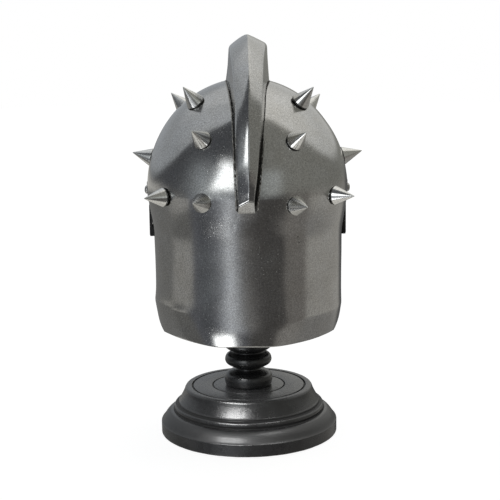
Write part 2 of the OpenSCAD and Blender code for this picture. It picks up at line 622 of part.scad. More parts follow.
stand_base();
stand_post();
stand_head();
head_pad();
base_felt();
base_bolt();
base_washer();
head_screw();
seated() skull_shell();
seated() crest();
seated() brow_plate();
seated() brow_rivets();
seated() spikes_lower();
seated() spikes_middle();
seated() spikes_upper();
seated() spike_screws();
seated() spike_washers();
seated() hinge_fixed_left();
seated() hinge_fixed_right();
seated() hinge_pin_left();
seated() hinge_pin_right();
seated() temple_rivets();
seated() neck_rivets();
seated() liner_band();
seated() liner_crown_back();
seated() liner_crown_front();
seated() liner_lace();
seated() visor_plate_left();
seated() hinge_leaf_left();
seated() leaf_rivets_left();
seated() eye_grille_left();
seated() grille_rivets_left();
seated() rib_left();
seated() rib_rivets_left();
seated() catch_keeper();
seated() keeper_rivets();
seated() visor_plate_right();
seated() hinge_leaf_right();
seated() leaf_rivets_right();
seated() eye_grille_right();
seated() grille_rivets_right();
seated() rib_right();
seated() rib_rivets_right();
seated() catch_pivot();
seated() catch_button();
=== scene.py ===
import json
import math

import bpy
import bmesh
import numpy as np
from mathutils import Matrix, Vector
from mathutils.geometry import delaunay_2d_cdt

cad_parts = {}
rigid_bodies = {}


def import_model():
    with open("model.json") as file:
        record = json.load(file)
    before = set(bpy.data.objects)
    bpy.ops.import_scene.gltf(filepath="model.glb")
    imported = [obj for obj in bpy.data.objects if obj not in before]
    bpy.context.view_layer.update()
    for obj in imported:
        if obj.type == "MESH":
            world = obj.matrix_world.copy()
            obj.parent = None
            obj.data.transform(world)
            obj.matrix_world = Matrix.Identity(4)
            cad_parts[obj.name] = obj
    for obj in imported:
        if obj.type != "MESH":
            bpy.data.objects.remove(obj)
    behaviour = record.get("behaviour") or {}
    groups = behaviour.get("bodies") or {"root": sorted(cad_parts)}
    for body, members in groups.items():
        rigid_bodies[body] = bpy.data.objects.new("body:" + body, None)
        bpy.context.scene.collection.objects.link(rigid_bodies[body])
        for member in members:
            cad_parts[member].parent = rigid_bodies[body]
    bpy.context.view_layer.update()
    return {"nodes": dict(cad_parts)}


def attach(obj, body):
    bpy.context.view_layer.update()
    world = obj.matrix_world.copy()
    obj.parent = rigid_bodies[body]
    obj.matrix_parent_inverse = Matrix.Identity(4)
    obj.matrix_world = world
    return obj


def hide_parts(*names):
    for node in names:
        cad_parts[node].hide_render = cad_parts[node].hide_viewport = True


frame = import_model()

MM = 0.001
scene = bpy.context.scene
rng = np.random.default_rng(11)

# ------------------------------------------------------------------ shape of the helmet, in millimetres
SIT = -1.3                      # how far the helmet sits to one side of the stand's middle
YR, YF, MID, HALF = 6.0, -16.0, -5.0, 11.0
EPS = 0.05                      # how softly the plan's half turns run into its straight sides
DOME_R, DOME_H, BASE_Z = 105.1, 114.2, 265.0
SHEET = 1.3
RIM_Z, CREASE_Z, EDGE_Y, BROW_Z = 117.0, 142.0, 3.0, 250.0

SKIRT = [(98.9, 155), (98.9, 190), (99.2, 214), (99.8, 226), (101, 233), (103.2, 246.5), (104.5, 256)]


def rad(a):
    return a * math.pi / 180


def smooth01(x, a, b):
    t = np.clip((np.asarray(x, float) - a) / (b - a), 0, 1)
    return t * t * (3 - 2 * t)


_z = np.arange(60, 379.2, 0.25)


def _dome_r(z):
    return DOME_R * np.sqrt(np.clip(1 - ((z - BASE_Z) / DOME_H) ** 2, 0, 1))


def _blur(r, sigma, z0, z1):
    """The outline rounded off, more where sigma is larger, between two heights."""
    k = np.arange(-120, 121)
    g = np.exp(-0.5 * (k * 0.25 / sigma) ** 2)
    g /= g.sum()
    ext = np.concatenate([r[0] + (r[0] - r[1]) * -np.arange(120, 0, -1) * -1, r, np.full(120, r[-1])])
    b = np.convolve(ext, g, "valid")
    w = smooth01(_z, z0 - 6, z0) * (1 - smooth01(_z, z1, z1 + 8))
    return r * (1 - w) + b * w


def _profile(points, sharp):
    zs = [p[1] for p in points] + list(np.arange(BASE_Z, 379.2, 0.25))
    rs = [p[0] for p in points] + list(_dome_r(np.arange(BASE_Z, 379.2, 0.25)))
    r = np.interp(_z, zs, rs)
    low = _z < zs[0]
    slope = (rs[1] - rs[0]) / (zs[1] - zs[0])
    r[low] = rs[0] + slope * (_z[low] - zs[0])
    wide = _blur(r, 4.5, 160, 270)
    return _blur(wide, sharp, 100, 166)


# three outlines of the neck guard: its left side, its right side and its middle, where the crease dies away
PROFILE_L = _profile([(95.0, 117), (99.9, 149.0), (98.9, 160)] + SKIRT[1:], 1.3)
PROFILE_R = _profile([(95.0, 117), (99.3, 143.0), (98.9, 157)] + SKIRT[1:], 1.5)
PROFILE_M = _profile([(95.0, 117), (98.4, 137), (98.9, 160)] + SKIRT[1:], 8.5)
PROFILE_CAD = _profile([(95.0, 117), (99.4, 142)] + SKIRT, 1.3)
PROFILE_DOOR = _profile([(89.0, 96), (95.0, 118), (99.4, 142)] + SKIRT, 1.3)


def guard_r(theta, z):
    """Outer radius of the skull at an angle from the rear (degrees, + is the wearer's left) and a height."""
    a = np.degrees(theta)
    wl = smooth01(a, 30, 46)
    wr = smooth01(-a, 14, 34)
    return (np.interp(z, _z, PROFILE_L) * wl + np.interp(z, _z, PROFILE_R) * wr
            + np.interp(z, _z, PROFILE_M) * (1 - wl - wr))


def door_r(z):
    return np.interp(z, _z, PROFILE_DOOR)


def plan(theta, r):
    """Plan point for a normal at angle theta from the rear."""
    s, c = np.sin(theta), np.cos(theta)
    q = np.sqrt(c * c + EPS * EPS)
    k = np.minimum(1, np.asarray(r) / 40)
    x = r * s + HALF * s * (EPS * EPS / q - EPS) * k
    y = MID + r * c + HALF * ((q - EPS) * c + (c / q) * s * s)
    return x, y


_th = np.concatenate([np.linspace(0, 1.40, 500), np.linspace(1.40, 1.74, 600)[1:], np.linspace(1.74, math.pi, 500)[1:]])


def arc_table(r):
    """Arc length along half the plan, from the rear, for a radius."""
    x, y = plan(_th, r)
    return np.concatenate([[0], np.cumsum(np.hypot(np.diff(x), np.diff(y)))]), x, y


_waves = [(rng.uniform(-1, 1, 3), rng.uniform(0, 6.28), lam) for lam in (150, 120, 95, 78, 64, 55, 47, 40, 33, 27)]
_waves = [(d / np.linalg.norm(d), p, lam) for d, p, lam in _waves]


def uneven(P, amount=1.0):
    """Slow hand-made unevenness of the sheet, in millimetres along the normal."""
    d = np.zeros(len(P))
    for k, p, lam in _waves:
        d += lam ** 1.25 * 0.00052 * np.sin(P @ k * (2 * math.pi / lam) + p)
    return d * amount


# ------------------------------------------------------------------ mesh helpers
def weld(bm, dist=2e-6):
    bmesh.ops.remove_doubles(bm, verts=bm.verts[:], dist=dist)


def piece(name, co, faces, body, mats, replaces=(), angle=38, outward=True, mat_index=None, clean=True):
    me = bpy.data.meshes.new(name)
    me.from_pydata((np.asarray(co, float) * MM).tolist(), [], [tuple(int(i) for i in f) for f in faces])
    if mat_index is not None:
        me.polygons.foreach_set("material_index", np.asarray(mat_index, np.int32))
    bm = bmesh.new()
    bm.from_mesh(me)
    if clean:
        weld(bm)
        bmesh.ops.dissolve_degenerate(bm, dist=1e-7, edges=bm.edges[:])
        loose = [v for v in bm.verts if not v.link_faces]
        bmesh.ops.delete(bm, geom=loose, context="VERTS")
    if outward:
        bmesh.ops.recalc_face_normals(bm, faces=bm.faces[:])
    lim = rad(angle)
    for f in bm.faces:
        f.smooth = True
    for e in bm.edges:
        if len(e.link_faces) == 2 and e.calc_face_angle(0) > lim:
            e.smooth = False
    bm.to_mesh(me)
    bm.free()
    me.update()
    for m in (mats if isinstance(mats, (list, tuple)) else [mats]):
        me.materials.append(m)
    ob = bpy.data.objects.new(name, me)
    scene.collection.objects.link(ob)
    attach(ob, body)
    if replaces:
        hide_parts(*replaces)
    return ob


def grid_faces(nv, nu, closed=False, mask=None):
    out = []
    for i in range(nv - 1):
        for j in range(nu if closed else nu - 1):
            if mask is not None and not mask[i, j]:
                continue
            k = (j + 1) % nu
            out.append((i * nu + j, i * nu + k, (i + 1) * nu + k, (i + 1) * nu + j))
    return out


def grid_normals(P, closed=False):
    """Normals of a grid of points, P[v][u]."""
    if closed:
        du = np.roll(P, -1, 1) - np.roll(P, 1, 1)
    else:
        du = np.gradient(P, axis=1)
    dv = np.gradient(P, axis=0)
    n = np.cross(du, dv)
    l = np.linalg.norm(n, axis=2, keepdims=True)
    return n / np.maximum(l, 1e-9)


def thicken(P, N, faces, t, seg=4, inset=True):
    """A sheet of thickness t below the outer points P, with rounded edges. Returns points, faces and which faces are inside."""
    P, N = np.asarray(P, float), np.asarray(N, float)
    n = len(P)
    count, nxt, prv = {}, {}, {}
    for f in faces:
        for a, b in zip(f, f[1:] + f[:1]):
            count[(a, b)] = 1
    border = [(a, b) for (a, b) in count if (b, a) not in count]
    for a, b in border:
        nxt[a], prv[b] = b, a
    used = {i for f in faces for i in f}
    chain, extra = {}, []
    P = P.copy()
    outdir = {}
    for v in nxt:
        if v not in prv:
            continue
        T = P[nxt[v]] - P[prv[v]]
        T /= max(np.linalg.norm(T), 1e-9)
        o = np.cross(T, N[v])
        o /= max(np.linalg.norm(o), 1e-9)
        outdir[v] = o
    if inset:
        for v, o in outdir.items():
            P[v] = P[v] - o * (t / 2)
    inner = P - N * t
    for v, o in outdir.items():
        ids = [v]
        for k in range(1, seg):
            f = math.pi * k / seg
            extra.append(P[v] - N[v] * (t / 2) + (t / 2) * (math.cos(f) * N[v] + math.sin(f) * o))
            ids.append(2 * n + len(extra) - 1)
        ids.append(n + v)
        chain[v] = ids
    out = [tuple(f) for f in faces]
    kind = [0] * len(out)
    out += [tuple(n + i for i in reversed(f)) for f in faces]
    kind += [1] * len(faces)
    for a, b in border:
        if a not in chain or b not in chain:
            continue
        ca, cb = chain[a], chain[b]
        for k in range(seg):
            out.append((cb[k], ca[k], ca[k + 1], cb[k + 1]))
            kind.append(0)
    co = np.concatenate([P, inner, np.array(extra).reshape(-1, 3)])
    return co, out, kind


def inside(pts, loop):
    """Even-odd test of many points against one closed loop."""
    x, y = pts[:, 0], pts[:, 1]
    c = np.zeros(len(pts), bool)
    a = np.asarray(loop, float)
    b = np.roll(a, -1, 0)
    for (x0, y0), (x1, y1) in zip(a, b):
        if y0 == y1:
            continue
        m = (y0 > y) != (y1 > y)
        c ^= m & (x < (x1 - x0) * (y - y0) / (y1 - y0) + x0)
    return c


def near_loop(pts, loop, dist):
    a = np.asarray(loop, float)
    b = np.roll(a, -1, 0)
    d = np.full(len(pts), 1e9)
    for p, q in zip(a, b):
        e = q - p
        l = max((e @ e), 1e-12)
        t = np.clip(((pts - p) @ e) / l, 0, 1)
        d = np.minimum(d, np.linalg.norm(pts - (p + t[:, None] * e), axis=1))
    return d < dist


def resample(loop, step):
    out = []
    a = np.asarray(loop, float)
    for p, q in zip(a, np.roll(a, -1, 0)):
        k = max(1, int(round(np.linalg.norm(q - p) / step)))
        out += [p + (q - p) * i / k for i in range(k)]
    return np.array(out)


def flat_mesh(outer, holes, step):
    """Triangles that fill an outline with holes, in the plane. Returns points and faces, counter-clockwise."""
    loops = [resample(outer, step)] + [np.asarray(h, float) for h in holes]
    lo, hi = loops[0].min(0), loops[0].max(0)
    gx, gy = np.meshgrid(np.arange(lo[0] + step / 2, hi[0], step), np.arange(lo[1] + step / 2, hi[1], step * 0.9))
    gx[1::2] += step / 2
    pts = np.stack([gx.ravel(), gy.ravel()], 1)
    keep = inside(pts, loops[0])
    for h in loops[1:]:
        keep &= ~inside(pts, h)
    pts = pts[keep]
    bad = np.zeros(len(pts), bool)
    for l in loops:
        m = ~bad
        bad[m] |= near_loop(pts[m], l, step * 0.45)
    pts = pts[~bad]
    verts, edges = [], []
    for l in loops:
        s = len(verts)
        verts += [tuple(p) for p in l]
        edges += [(s + i, s + (i + 1) % len(l)) for i in range(len(l))]
    verts += [tuple(p) for p in pts]
    res = delaunay_2d_cdt([Vector(v) for v in verts], edges, [], 0, 1e-6)
    v2 = np.array([(v.x, v.y) for v in res[0]])
    tri = [tuple(f) for f in res[2]]
    cen = np.array([v2[list(f)].mean(0) for f in tri])
    keep = inside(cen, loops[0])
    for h in loops[1:]:
        keep &= ~inside(cen, h)
    out = []
    for f, k in zip(tri, keep):
        if not k:
            continue
        a, b, c = (v2[i] for i in f)
        area = (b[0] - a[0]) * (c[1] - a[1]) - (b[1] - a[1]) * (c[0] - a[0])
        if abs(area) < 1e-5:
            continue
        out.append(tuple(f) if area > 0 else tuple(reversed(f)))
    return v2, out


def rounded(points, radius=0.3, seg=4, closed=False):
    """A profile with its corners rounded. A point may carry its own radius as a third number."""
    pts = [np.array(p[:2], float) for p in points]
    own = [p[2] if len(p) > 2 else radius for p in points]
    out = []
    n = len(pts)
    for i, p in enumerate(pts):
        if not closed and i in (0, n - 1):
            out.append(p)
            continue
        a, b = pts[i - 1], pts[(i + 1) % n]
        la, lb = np.linalg.norm(a - p), np.linalg.norm(b - p)
        if la < 1e-6 or lb < 1e-6:
            continue
        k = min(own[i], la * 0.49, lb * 0.49)
        if k < 0.02:
            out.append(p)
            continue
        s, e = p + (a - p) / la * k, p + (b - p) / lb * k
        for j in range(seg + 1):
            t = j / seg
            out.append((1 - t) ** 2 * s + 2 * t * (1 - t) * p + t * t * e)
    return out


def lathe(profile, n=64):
    """Points and faces of a turned shape about Z, from (radius, height) pairs."""
    co, faces, rings = [], [], []
    for r, z in profile:
        if r < 1e-4:
            rings.append([len(co)])
            co.append((0, 0, z))
        else:
            s = len(co)
            for j in range(n):
                a = 2 * math.pi * j / n
                co.append((r * math.cos(a), r * math.sin(a), z))
            rings.append(list(range(s, s + n)))
    for a, b in zip(rings, rings[1:]):
        for j in range(n):
            k = (j + 1) % n
            if len(a) == 1 and len(b) == 1:
                continue
            if len(a) == 1:
                faces.append((a[0], b[k], b[j]))
            elif len(b) == 1:
                faces.append((a[j], a[k], b[0]))
            else:
                faces.append((a[j], a[k], b[k], b[j]))
    return np.array(co, float), faces


class Heap:
    """Several solids gathered into one piece."""

    def __init__(self):
        self.co, self.faces, self.n = [], [], 0

    def add(self, co, faces, M=None):
        co = np.asarray(co, float)
        if M is not None:
            co = co @ M[:3, :3].T + M[:3, 3]
        self.co.append(co)
        self.faces += [tuple(self.n + i for i in f) for f in faces]
        self.n += len(co)

    def points(self):
        return np.concatenate(self.co)


def frame_at(point, z_dir, x_hint=(0, 0, 1)):
    z = np.array(z_dir, float)
    z /= np.linalg.norm(z)
    x = np.cross(np.array(x_hint, float), z)
    if np.linalg.norm(x) < 1e-6:
        x = np.cross(np.array((0, 1, 0.0)), z)
    x /= np.linalg.norm(x)
    M = np.eye(4)
    M[:3, 0], M[:3, 1], M[:3, 2], M[:3, 3] = x, np.cross(z, x), z, point
    return M


def tube(path, radius, n=12, closed=False, shape=None, up=None):
    """A swept tube. shape(i, angle) scales the radius."""
    p = np.asarray(path, float)
    m = len(p)
    t = (np.roll(p, -1, 0) - np.roll(p, 1, 0)) if closed else np.gradient(p, axis=0)
    t /= np.linalg.norm(t, axis=1, keepdims=True)
    co = []
    ref = np.array(up if up is not None else (0, 0, 1.0), float)
    a = np.cross(ref, t[0])
    if np.linalg.norm(a) < 1e-3:
        a = np.cross((1.0, 0, 0), t[0])
    a /= np.linalg.norm(a)
    for i in range(m):
        a = a - t[i] * (a @ t[i])
        a /= np.linalg.norm(a)
        b = np.cross(t[i], a)
        for j in range(n):
            f = 2 * math.pi * j / n
            r = (radius[i] if hasattr(radius, "__len__") else radius) * (shape(i, f) if shape else 1)
            co.append(p[i] + r * (math.cos(f) * a + math.sin(f) * b))
    faces = []
    for i in range(m if closed else m - 1):
        k = (i + 1) % m
        for j in range(n):
            l = (j + 1) % n
            faces.append((i * n + j, i * n + l, k * n + l, k * n + j))
    if not closed:
        faces.append(tuple(reversed(range(n))))
        faces.append(tuple((m - 1) * n + j for j in range(n)))
    return np.array(co), faces


# ------------------------------------------------------------------ node helpers
class Nodes:
    def __init__(self, tree):
        self.t = tree
        tree.nodes.clear()

    def new(self, kind, **props):
        n = self.t.nodes.new(kind)
        for k, v in props.items():
            setattr(n, k, v)
        return n

    def put(self, socket, value):
        if isinstance(value, bpy.types.NodeSocket):
            self.t.links.new(value, socket)
        elif value is not None:
            if socket.type == "RGBA" and len(value) == 3:
                value = (*value, 1)
            socket.default_value = value

    def m(self, op, a, b=None, c=None, clamp=False):
        n = self.new("ShaderNodeMath", operation=op, use_clamp=clamp)
        for i, v in enumerate((a, b, c)):
            if v is not None:
                self.put(n.inputs[i], v)
        return n.outputs[0]

    def step(self, x, a, b, lo=0.0, hi=1.0):
        n = self.new("ShaderNodeMapRange", interpolation_type="SMOOTHSTEP", clamp=True)
        for k, v in (("Value", x), ("From Min", a), ("From Max", b), ("To Min", lo), ("To Max", hi)):
            self.put(n.inputs[k], v)
        return n.outputs["Result"]

    def lin(self, x, a, b, lo=0.0, hi=1.0):
        n = self.new("ShaderNodeMapRange", clamp=True)
        for k, v in (("Value", x), ("From Min", a), ("From Max", b), ("To Min", lo), ("To Max", hi)):
            self.put(n.inputs[k], v)
        return n.outputs["Result"]

    def mix(self, f, a, b, blend="MIX"):
        n = self.new("ShaderNodeMix", data_type="RGBA", blend_type=blend)
        self.put(n.inputs[0], f)
        self.put(n.inputs[6], a)
        self.put(n.inputs[7], b)
        return n.outputs[2]

    def noise(self, vec, scale, detail=2.0, rough=0.5, dist=0.0, dims="3D"):
        n = self.new("ShaderNodeTexNoise", noise_dimensions=dims)
        if dims == "1D":
            self.put(n.inputs["W"], vec)
        else:
            self.put(n.inputs["Vector"], vec)
        self.put(n.inputs["Scale"], scale)
        self.put(n.inputs["Detail"], detail)
        self.put(n.inputs["Roughness"], rough)
        self.put(n.inputs["Distortion"], dist)
        return n.outputs["Fac"]

    def voronoi(self, vec, scale, feature="F1", out="Distance", rnd=1.0):
        n = self.new("ShaderNodeTexVoronoi", feature=feature)
        self.put(n.inputs["Vector"], vec)
        self.put(n.inputs["Scale"], scale)
        if "Randomness" in n.inputs:
            self.put(n.inputs["Randomness"], rnd)
        return n.outputs[out]

    def xyz(self, vec):
        n = self.new("ShaderNodeSeparateXYZ")
        self.put(n.inputs[0], vec)
        return n.outputs

    def vec(self, x, y, z):
        n = self.new("ShaderNodeCombineXYZ")
        for i, v in enumerate((x, y, z)):
            self.put(n.inputs[i], v)
        return n.outputs[0]

    def scale(self, vec, s):
        n = self.new("ShaderNodeVectorMath", operation="MULTIPLY")
        self.put(n.inputs[0], vec)
        n.inputs[1].default_value = s
        return n.outputs[0]

    def bump(self, height, distance, strength=1.0, normal=None):
        n = self.new("ShaderNodeBump")
        self.put(n.inputs["Height"], height)
        n.inputs["Distance"].default_value = distance
        n.inputs["Strength"].default_value = strength
        if normal is not None:
            self.put(n.inputs["Normal"], normal)
        return n.outputs[0]

    def obj(self):
        return self.new("ShaderNodeTexCoord").outputs["Object"]


def material(name, build, **fixed):
    m = bpy.data.materials.new(name)
    m.use_nodes = True
    N = Nodes(m.node_tree)
    out = N.new("ShaderNodeOutputMaterial")
    p = N.new("ShaderNodeBsdfPrincipled")
    N.t.links.new(p.outputs[0], out.inputs[0])
    for k, v in fixed.items():
        p.inputs[k.replace("_", " ")].default_value = v
    got = build(N)
    for k, v in got.items():
        N.put(p.inputs[k], v)
    return m


# ------------------------------------------------------------------ materials
def steel_sheet(N, base_rough=0.165, dark=1.0, pits=True):
    c = N.obj()
    x, y, z = N.xyz(c)
    # an angle round the helmet, for the polishing lines that run up and down
    ang = N.m("ARCTAN2", x, N.m("ADD", y, 0.005))
    lines = N.noise(N.vec(N.m("MULTIPLY", ang, 130.0), N.m("MULTIPLY", z, 14.0), 0.0), 1.0, 2.0, 0.6)
    grain = N.noise(c, 720.0, 3.0, 0.62)
    fleck = N.noise(c, 1500.0, 2.0, 0.6)
    glint = N.new("ShaderNodeTexVoronoi", feature="F1")
    N.put(glint.inputs["Vector"], c)
    glint.inputs["Scale"].default_value = 620.0
    pick = N.xyz(glint.outputs["Color"])
    area = N.noise(c, 14.0, 3.0, 0.6)
    nib_and_glint = N.m("MULTIPLY", N.step(pick[0], 0.80, 0.84), N.m("SUBTRACT", 1.0, N.step(glint.outputs["Distance"], 0.05, 0.34)))
    nib_and_glint = N.m("MULTIPLY", nib_and_glint, N.lin(area, 0.35, 0.6, 0.35, 1.0))
    cloud = N.noise(c, 17.0, 4.0, 0.62, 0.4)
    patch = N.noise(c, 55.0, 3.0, 0.55)
    dents = N.noise(c, 95.0, 2.0, 0.5)
    # fine scratches at two angles
    s1 = N.noise(N.scale(c, (900.0, 900.0, 60.0)), 1.0, 1.0, 0.5)
    rot = N.new("ShaderNodeVectorRotate", rotation_type="EULER_XYZ")
    N.put(rot.inputs["Vector"], c)
    rot.inputs["Rotation"].default_value = (0.6, 0.9, 0.3)
    s2 = N.noise(N.scale(rot.outputs[0], (1100.0, 40.0, 1100.0)), 1.0, 1.0, 0.5)
    scratch = N.m("ADD", N.step(s1, 0.66, 0.72), N.step(s2, 0.68, 0.73))
    bright = N.lin(cloud, 0.3, 0.7, 0.94, 1.04)
    bright = N.m("MULTIPLY", bright, N.lin(grain, 0.28, 0.72, 0.70, 1.26))
    bright = N.m("MULTIPLY", bright, N.lin(fleck, 0.3, 0.7, 0.82, 1.15))
    # painted glints: the sparse specks brighten the colour here, and are also raised as nibs in the bump
    bright = N.m("ADD", bright, N.m("MULTIPLY", nib_and_glint, 0.55))
    colour = N.mix(N.lin(patch, 0.35, 0.65), (0.575, 0.575, 0.57), (0.545, 0.54, 0.525))
    colour = N.mix(1.0, colour, N.vec(bright, bright, bright), "MULTIPLY")
    if dark != 1.0:
        colour = N.mix(1.0, colour, (dark, dark, dark), "MULTIPLY")
    height = N.m("MULTIPLY", grain, 0.75)
    height = N.m("ADD", height, N.m("MULTIPLY", fleck, 0.4))
    height = N.m("ADD", height, N.m("MULTIPLY", lines, 0.3))
    height = N.m("SUBTRACT", height, N.m("MULTIPLY", scratch, 0.35))
    height = N.m("ADD", height, N.m("MULTIPLY", nib_and_glint, 4.0))
    rough = N.m("ADD", base_rough - 0.02, N.m("MULTIPLY", N.lin(cloud, 0.3, 0.7), 0.04))
    rough = N.m("ADD", rough, N.m("MULTIPLY", N.lin(patch, 0.4, 0.7), 0.02))
    rough = N.m("ADD", rough, N.m("MULTIPLY", scratch, 0.08))
    if pits:
        v = N.voronoi(c, 46.0)
        sel = N.noise(c, 23.0, 0.0)
        pit = N.m("MULTIPLY", N.m("SUBTRACT", 1.0, N.step(v, 0.012, 0.026)), N.step(sel, 0.52, 0.56))
        v2 = N.voronoi(c, 130.0)
        pit2 = N.m("MULTIPLY", N.m("SUBTRACT", 1.0, N.step(v2, 0.03, 0.06)), N.step(N.noise(c, 31.0, 0.0), 0.6, 0.66))
        pit = N.m("MAXIMUM", pit, N.m("MULTIPLY", pit2, 0.7))
        colour = N.mix(pit, colour, (0.10, 0.085, 0.07))
        rough = N.m("ADD", rough, N.m("MULTIPLY", pit, 0.35))
        height = N.m("SUBTRACT", height, N.m("MULTIPLY", pit, 3.0))
    b = N.bump(height, 0.000012)
    b = N.bump(dents, 0.00005, 1.0, b)
    return {"Base Color": colour, "Roughness": rough, "Normal": b}


steel = material("sheet_steel_polished", lambda N: steel_sheet(N, base_rough=0.145), Metallic=1.0)
steel_crest = material("crest_steel_brushed", lambda N: steel_sheet(N, base_rough=0.18), Metallic=1.0)


def inner_steel(N):
    d = steel_sheet(N, base_rough=0.42, dark=0.62, pits=True)
    return d


steel_inside = material("sheet_steel_unpolished", inner_steel, Metallic=1.0)


def turned(N):
    """Bright turned steel. The lathe marks run in rings round each stud's own axis, which the stud's UV map holds."""
    uv = N.new("ShaderNodeUVMap", uv_map="turning").outputs[0]
    u, v, _ = N.xyz(uv)
    rings = N.noise(N.m("MULTIPLY", v, 5200.0), 1.0, 2.0, 0.6, dims="1D")
    c = N.obj()
    wear = N.noise(c, 260.0, 3.0, 0.6)
    cuts = N.noise(N.m("MULTIPLY", v, 1050.0), 1.0, 1.0, 0.5, dims="1D")
    colour = N.mix(N.lin(wear, 0.35, 0.7), (0.88, 0.875, 0.85), (0.80, 0.795, 0.77))
    colour = N.mix(N.lin(cuts, 0.5, 0.68, 0.0, 0.45), colour, (0.46, 0.46, 0.45))
    nick = N.m("MULTIPLY", N.m("SUBTRACT", 1.0, N.step(N.voronoi(c, 210.0), 0.04, 0.09)), N.step(N.noise(c, 70.0, 0.0), 0.55, 0.6))
    colour = N.mix(N.m("MULTIPLY", nick, 0.7), colour, (0.2, 0.18, 0.16))
    # painted shade: the ring cut above the foot is painted near black and made rough, for the dark line of shade there
    stud_groove_shade = N.m("MULTIPLY", N.step(v, 0.00096, 0.00108), N.step(v, 0.00168, 0.00160))
    colour = N.mix(N.m("MULTIPLY", stud_groove_shade, 0.92), colour, (0.02, 0.019, 0.017))
    # painted shade: below that ring the foot is painted dark, for the shade it sits in
    foot_shade = N.step(v, 0.00108, 0.00092)
    colour = N.mix(N.m("MULTIPLY", foot_shade, 0.93), colour, (0.035, 0.034, 0.032))
    rough = N.m("ADD", N.lin(wear, 0.3, 0.7, 0.155, 0.19), N.m("MULTIPLY", rings, 0.03))
    rough = N.m("ADD", rough, N.m("MULTIPLY", N.m("MAXIMUM", stud_groove_shade, foot_shade), 0.3))
    b = N.bump(rings, 0.000005)
    b = N.bump(cuts, 0.00003, 1.0, b)
    b = N.bump(wear, 0.000004, 1.0, b)
    tan = N.new("ShaderNodeTangent", direction_type="UV_MAP", uv_map="turning").outputs[0]
    return {"Base Color": colour, "Roughness": rough, "Normal": b, "Tangent": tan}


turned_steel = material("stud_steel_turned", turned, Metallic=1.0, Anisotropic=0.85, Anisotropic_Rotation=0.25)


def fixing(N, tone=0.55, rough=0.3):
    c = N.obj()
    g = N.noise(c, 900.0, 3.0, 0.6)
    w = N.noise(c, 120.0, 3.0, 0.6)
    colour = N.mix(N.lin(w, 0.35, 0.65), (tone, tone * 0.99, tone * 0.97), (tone * 0.78, tone * 0.77, tone * 0.75))
    return {"Base Color": colour, "Roughness": N.lin(g, 0.3, 0.7, rough - 0.06, rough + 0.1),
            "Normal": N.bump(N.m("ADD", g, w), 0.00003)}


fixing_steel = material("fixing_steel", fixing, Metallic=1.0)
rivet_steel = material("rivet_steel_domed", lambda N: fixing(N, 0.66, 0.2), Metallic=1.0)


# near-black steel for the hinges, partly painted shade, for the shade the hinges sit in at the temples
def shade_blackened(N):
    c = N.obj()
    g = N.noise(c, 700.0, 4.0, 0.65)
    w = N.noise(c, 90.0, 3.0, 0.6)
    colour = N.mix(N.lin(w, 0.4, 0.7), (0.016, 0.016, 0.017), (0.045, 0.043, 0.041))
    return {"Base Color": colour, "Roughness": N.lin(g, 0.3, 0.7, 0.38, 0.6), "Normal": N.bump(g, 0.00005)}


hinge_shade_black = material("hinge_steel_blackened_for_shade", shade_blackened, Metallic=0.6)


# painted shade and real rust: a near-black finish for the dark tubes along the crest's foot, which stand for the weld
# line and for the shade in the gap under the crest's walls, and for the rust specks
def shade_and_rust_black(N):
    c = N.obj()
    g = N.noise(c, 1300.0, 4.0, 0.7)
    w = N.noise(c, 240.0, 3.0, 0.6)
    colour = N.mix(N.lin(w, 0.35, 0.7), (0.008, 0.008, 0.008), (0.05, 0.043, 0.036))
    return {"Base Color": colour, "Roughness": N.lin(g, 0.3, 0.7, 0.5, 0.8), "Normal": N.bump(g, 0.0002)}


seam_shade_and_rust = material("weld_seam_shade_and_rust", shade_and_rust_black, Metallic=0.4)


def bead(N):
    c = N.obj()
    g = N.noise(c, 900.0, 4.0, 0.65)
    w = N.noise(c, 330.0, 3.0, 0.6)
    colour = N.mix(N.lin(w, 0.35, 0.68), (0.60, 0.585, 0.545), (0.30, 0.28, 0.25))
    return {"Base Color": colour, "Roughness": N.lin(g, 0.3, 0.7, 0.3, 0.5), "Normal": N.bump(g, 0.0002)}


seam_bead = material("weld_seam_ground", bead, Metallic=1.0)


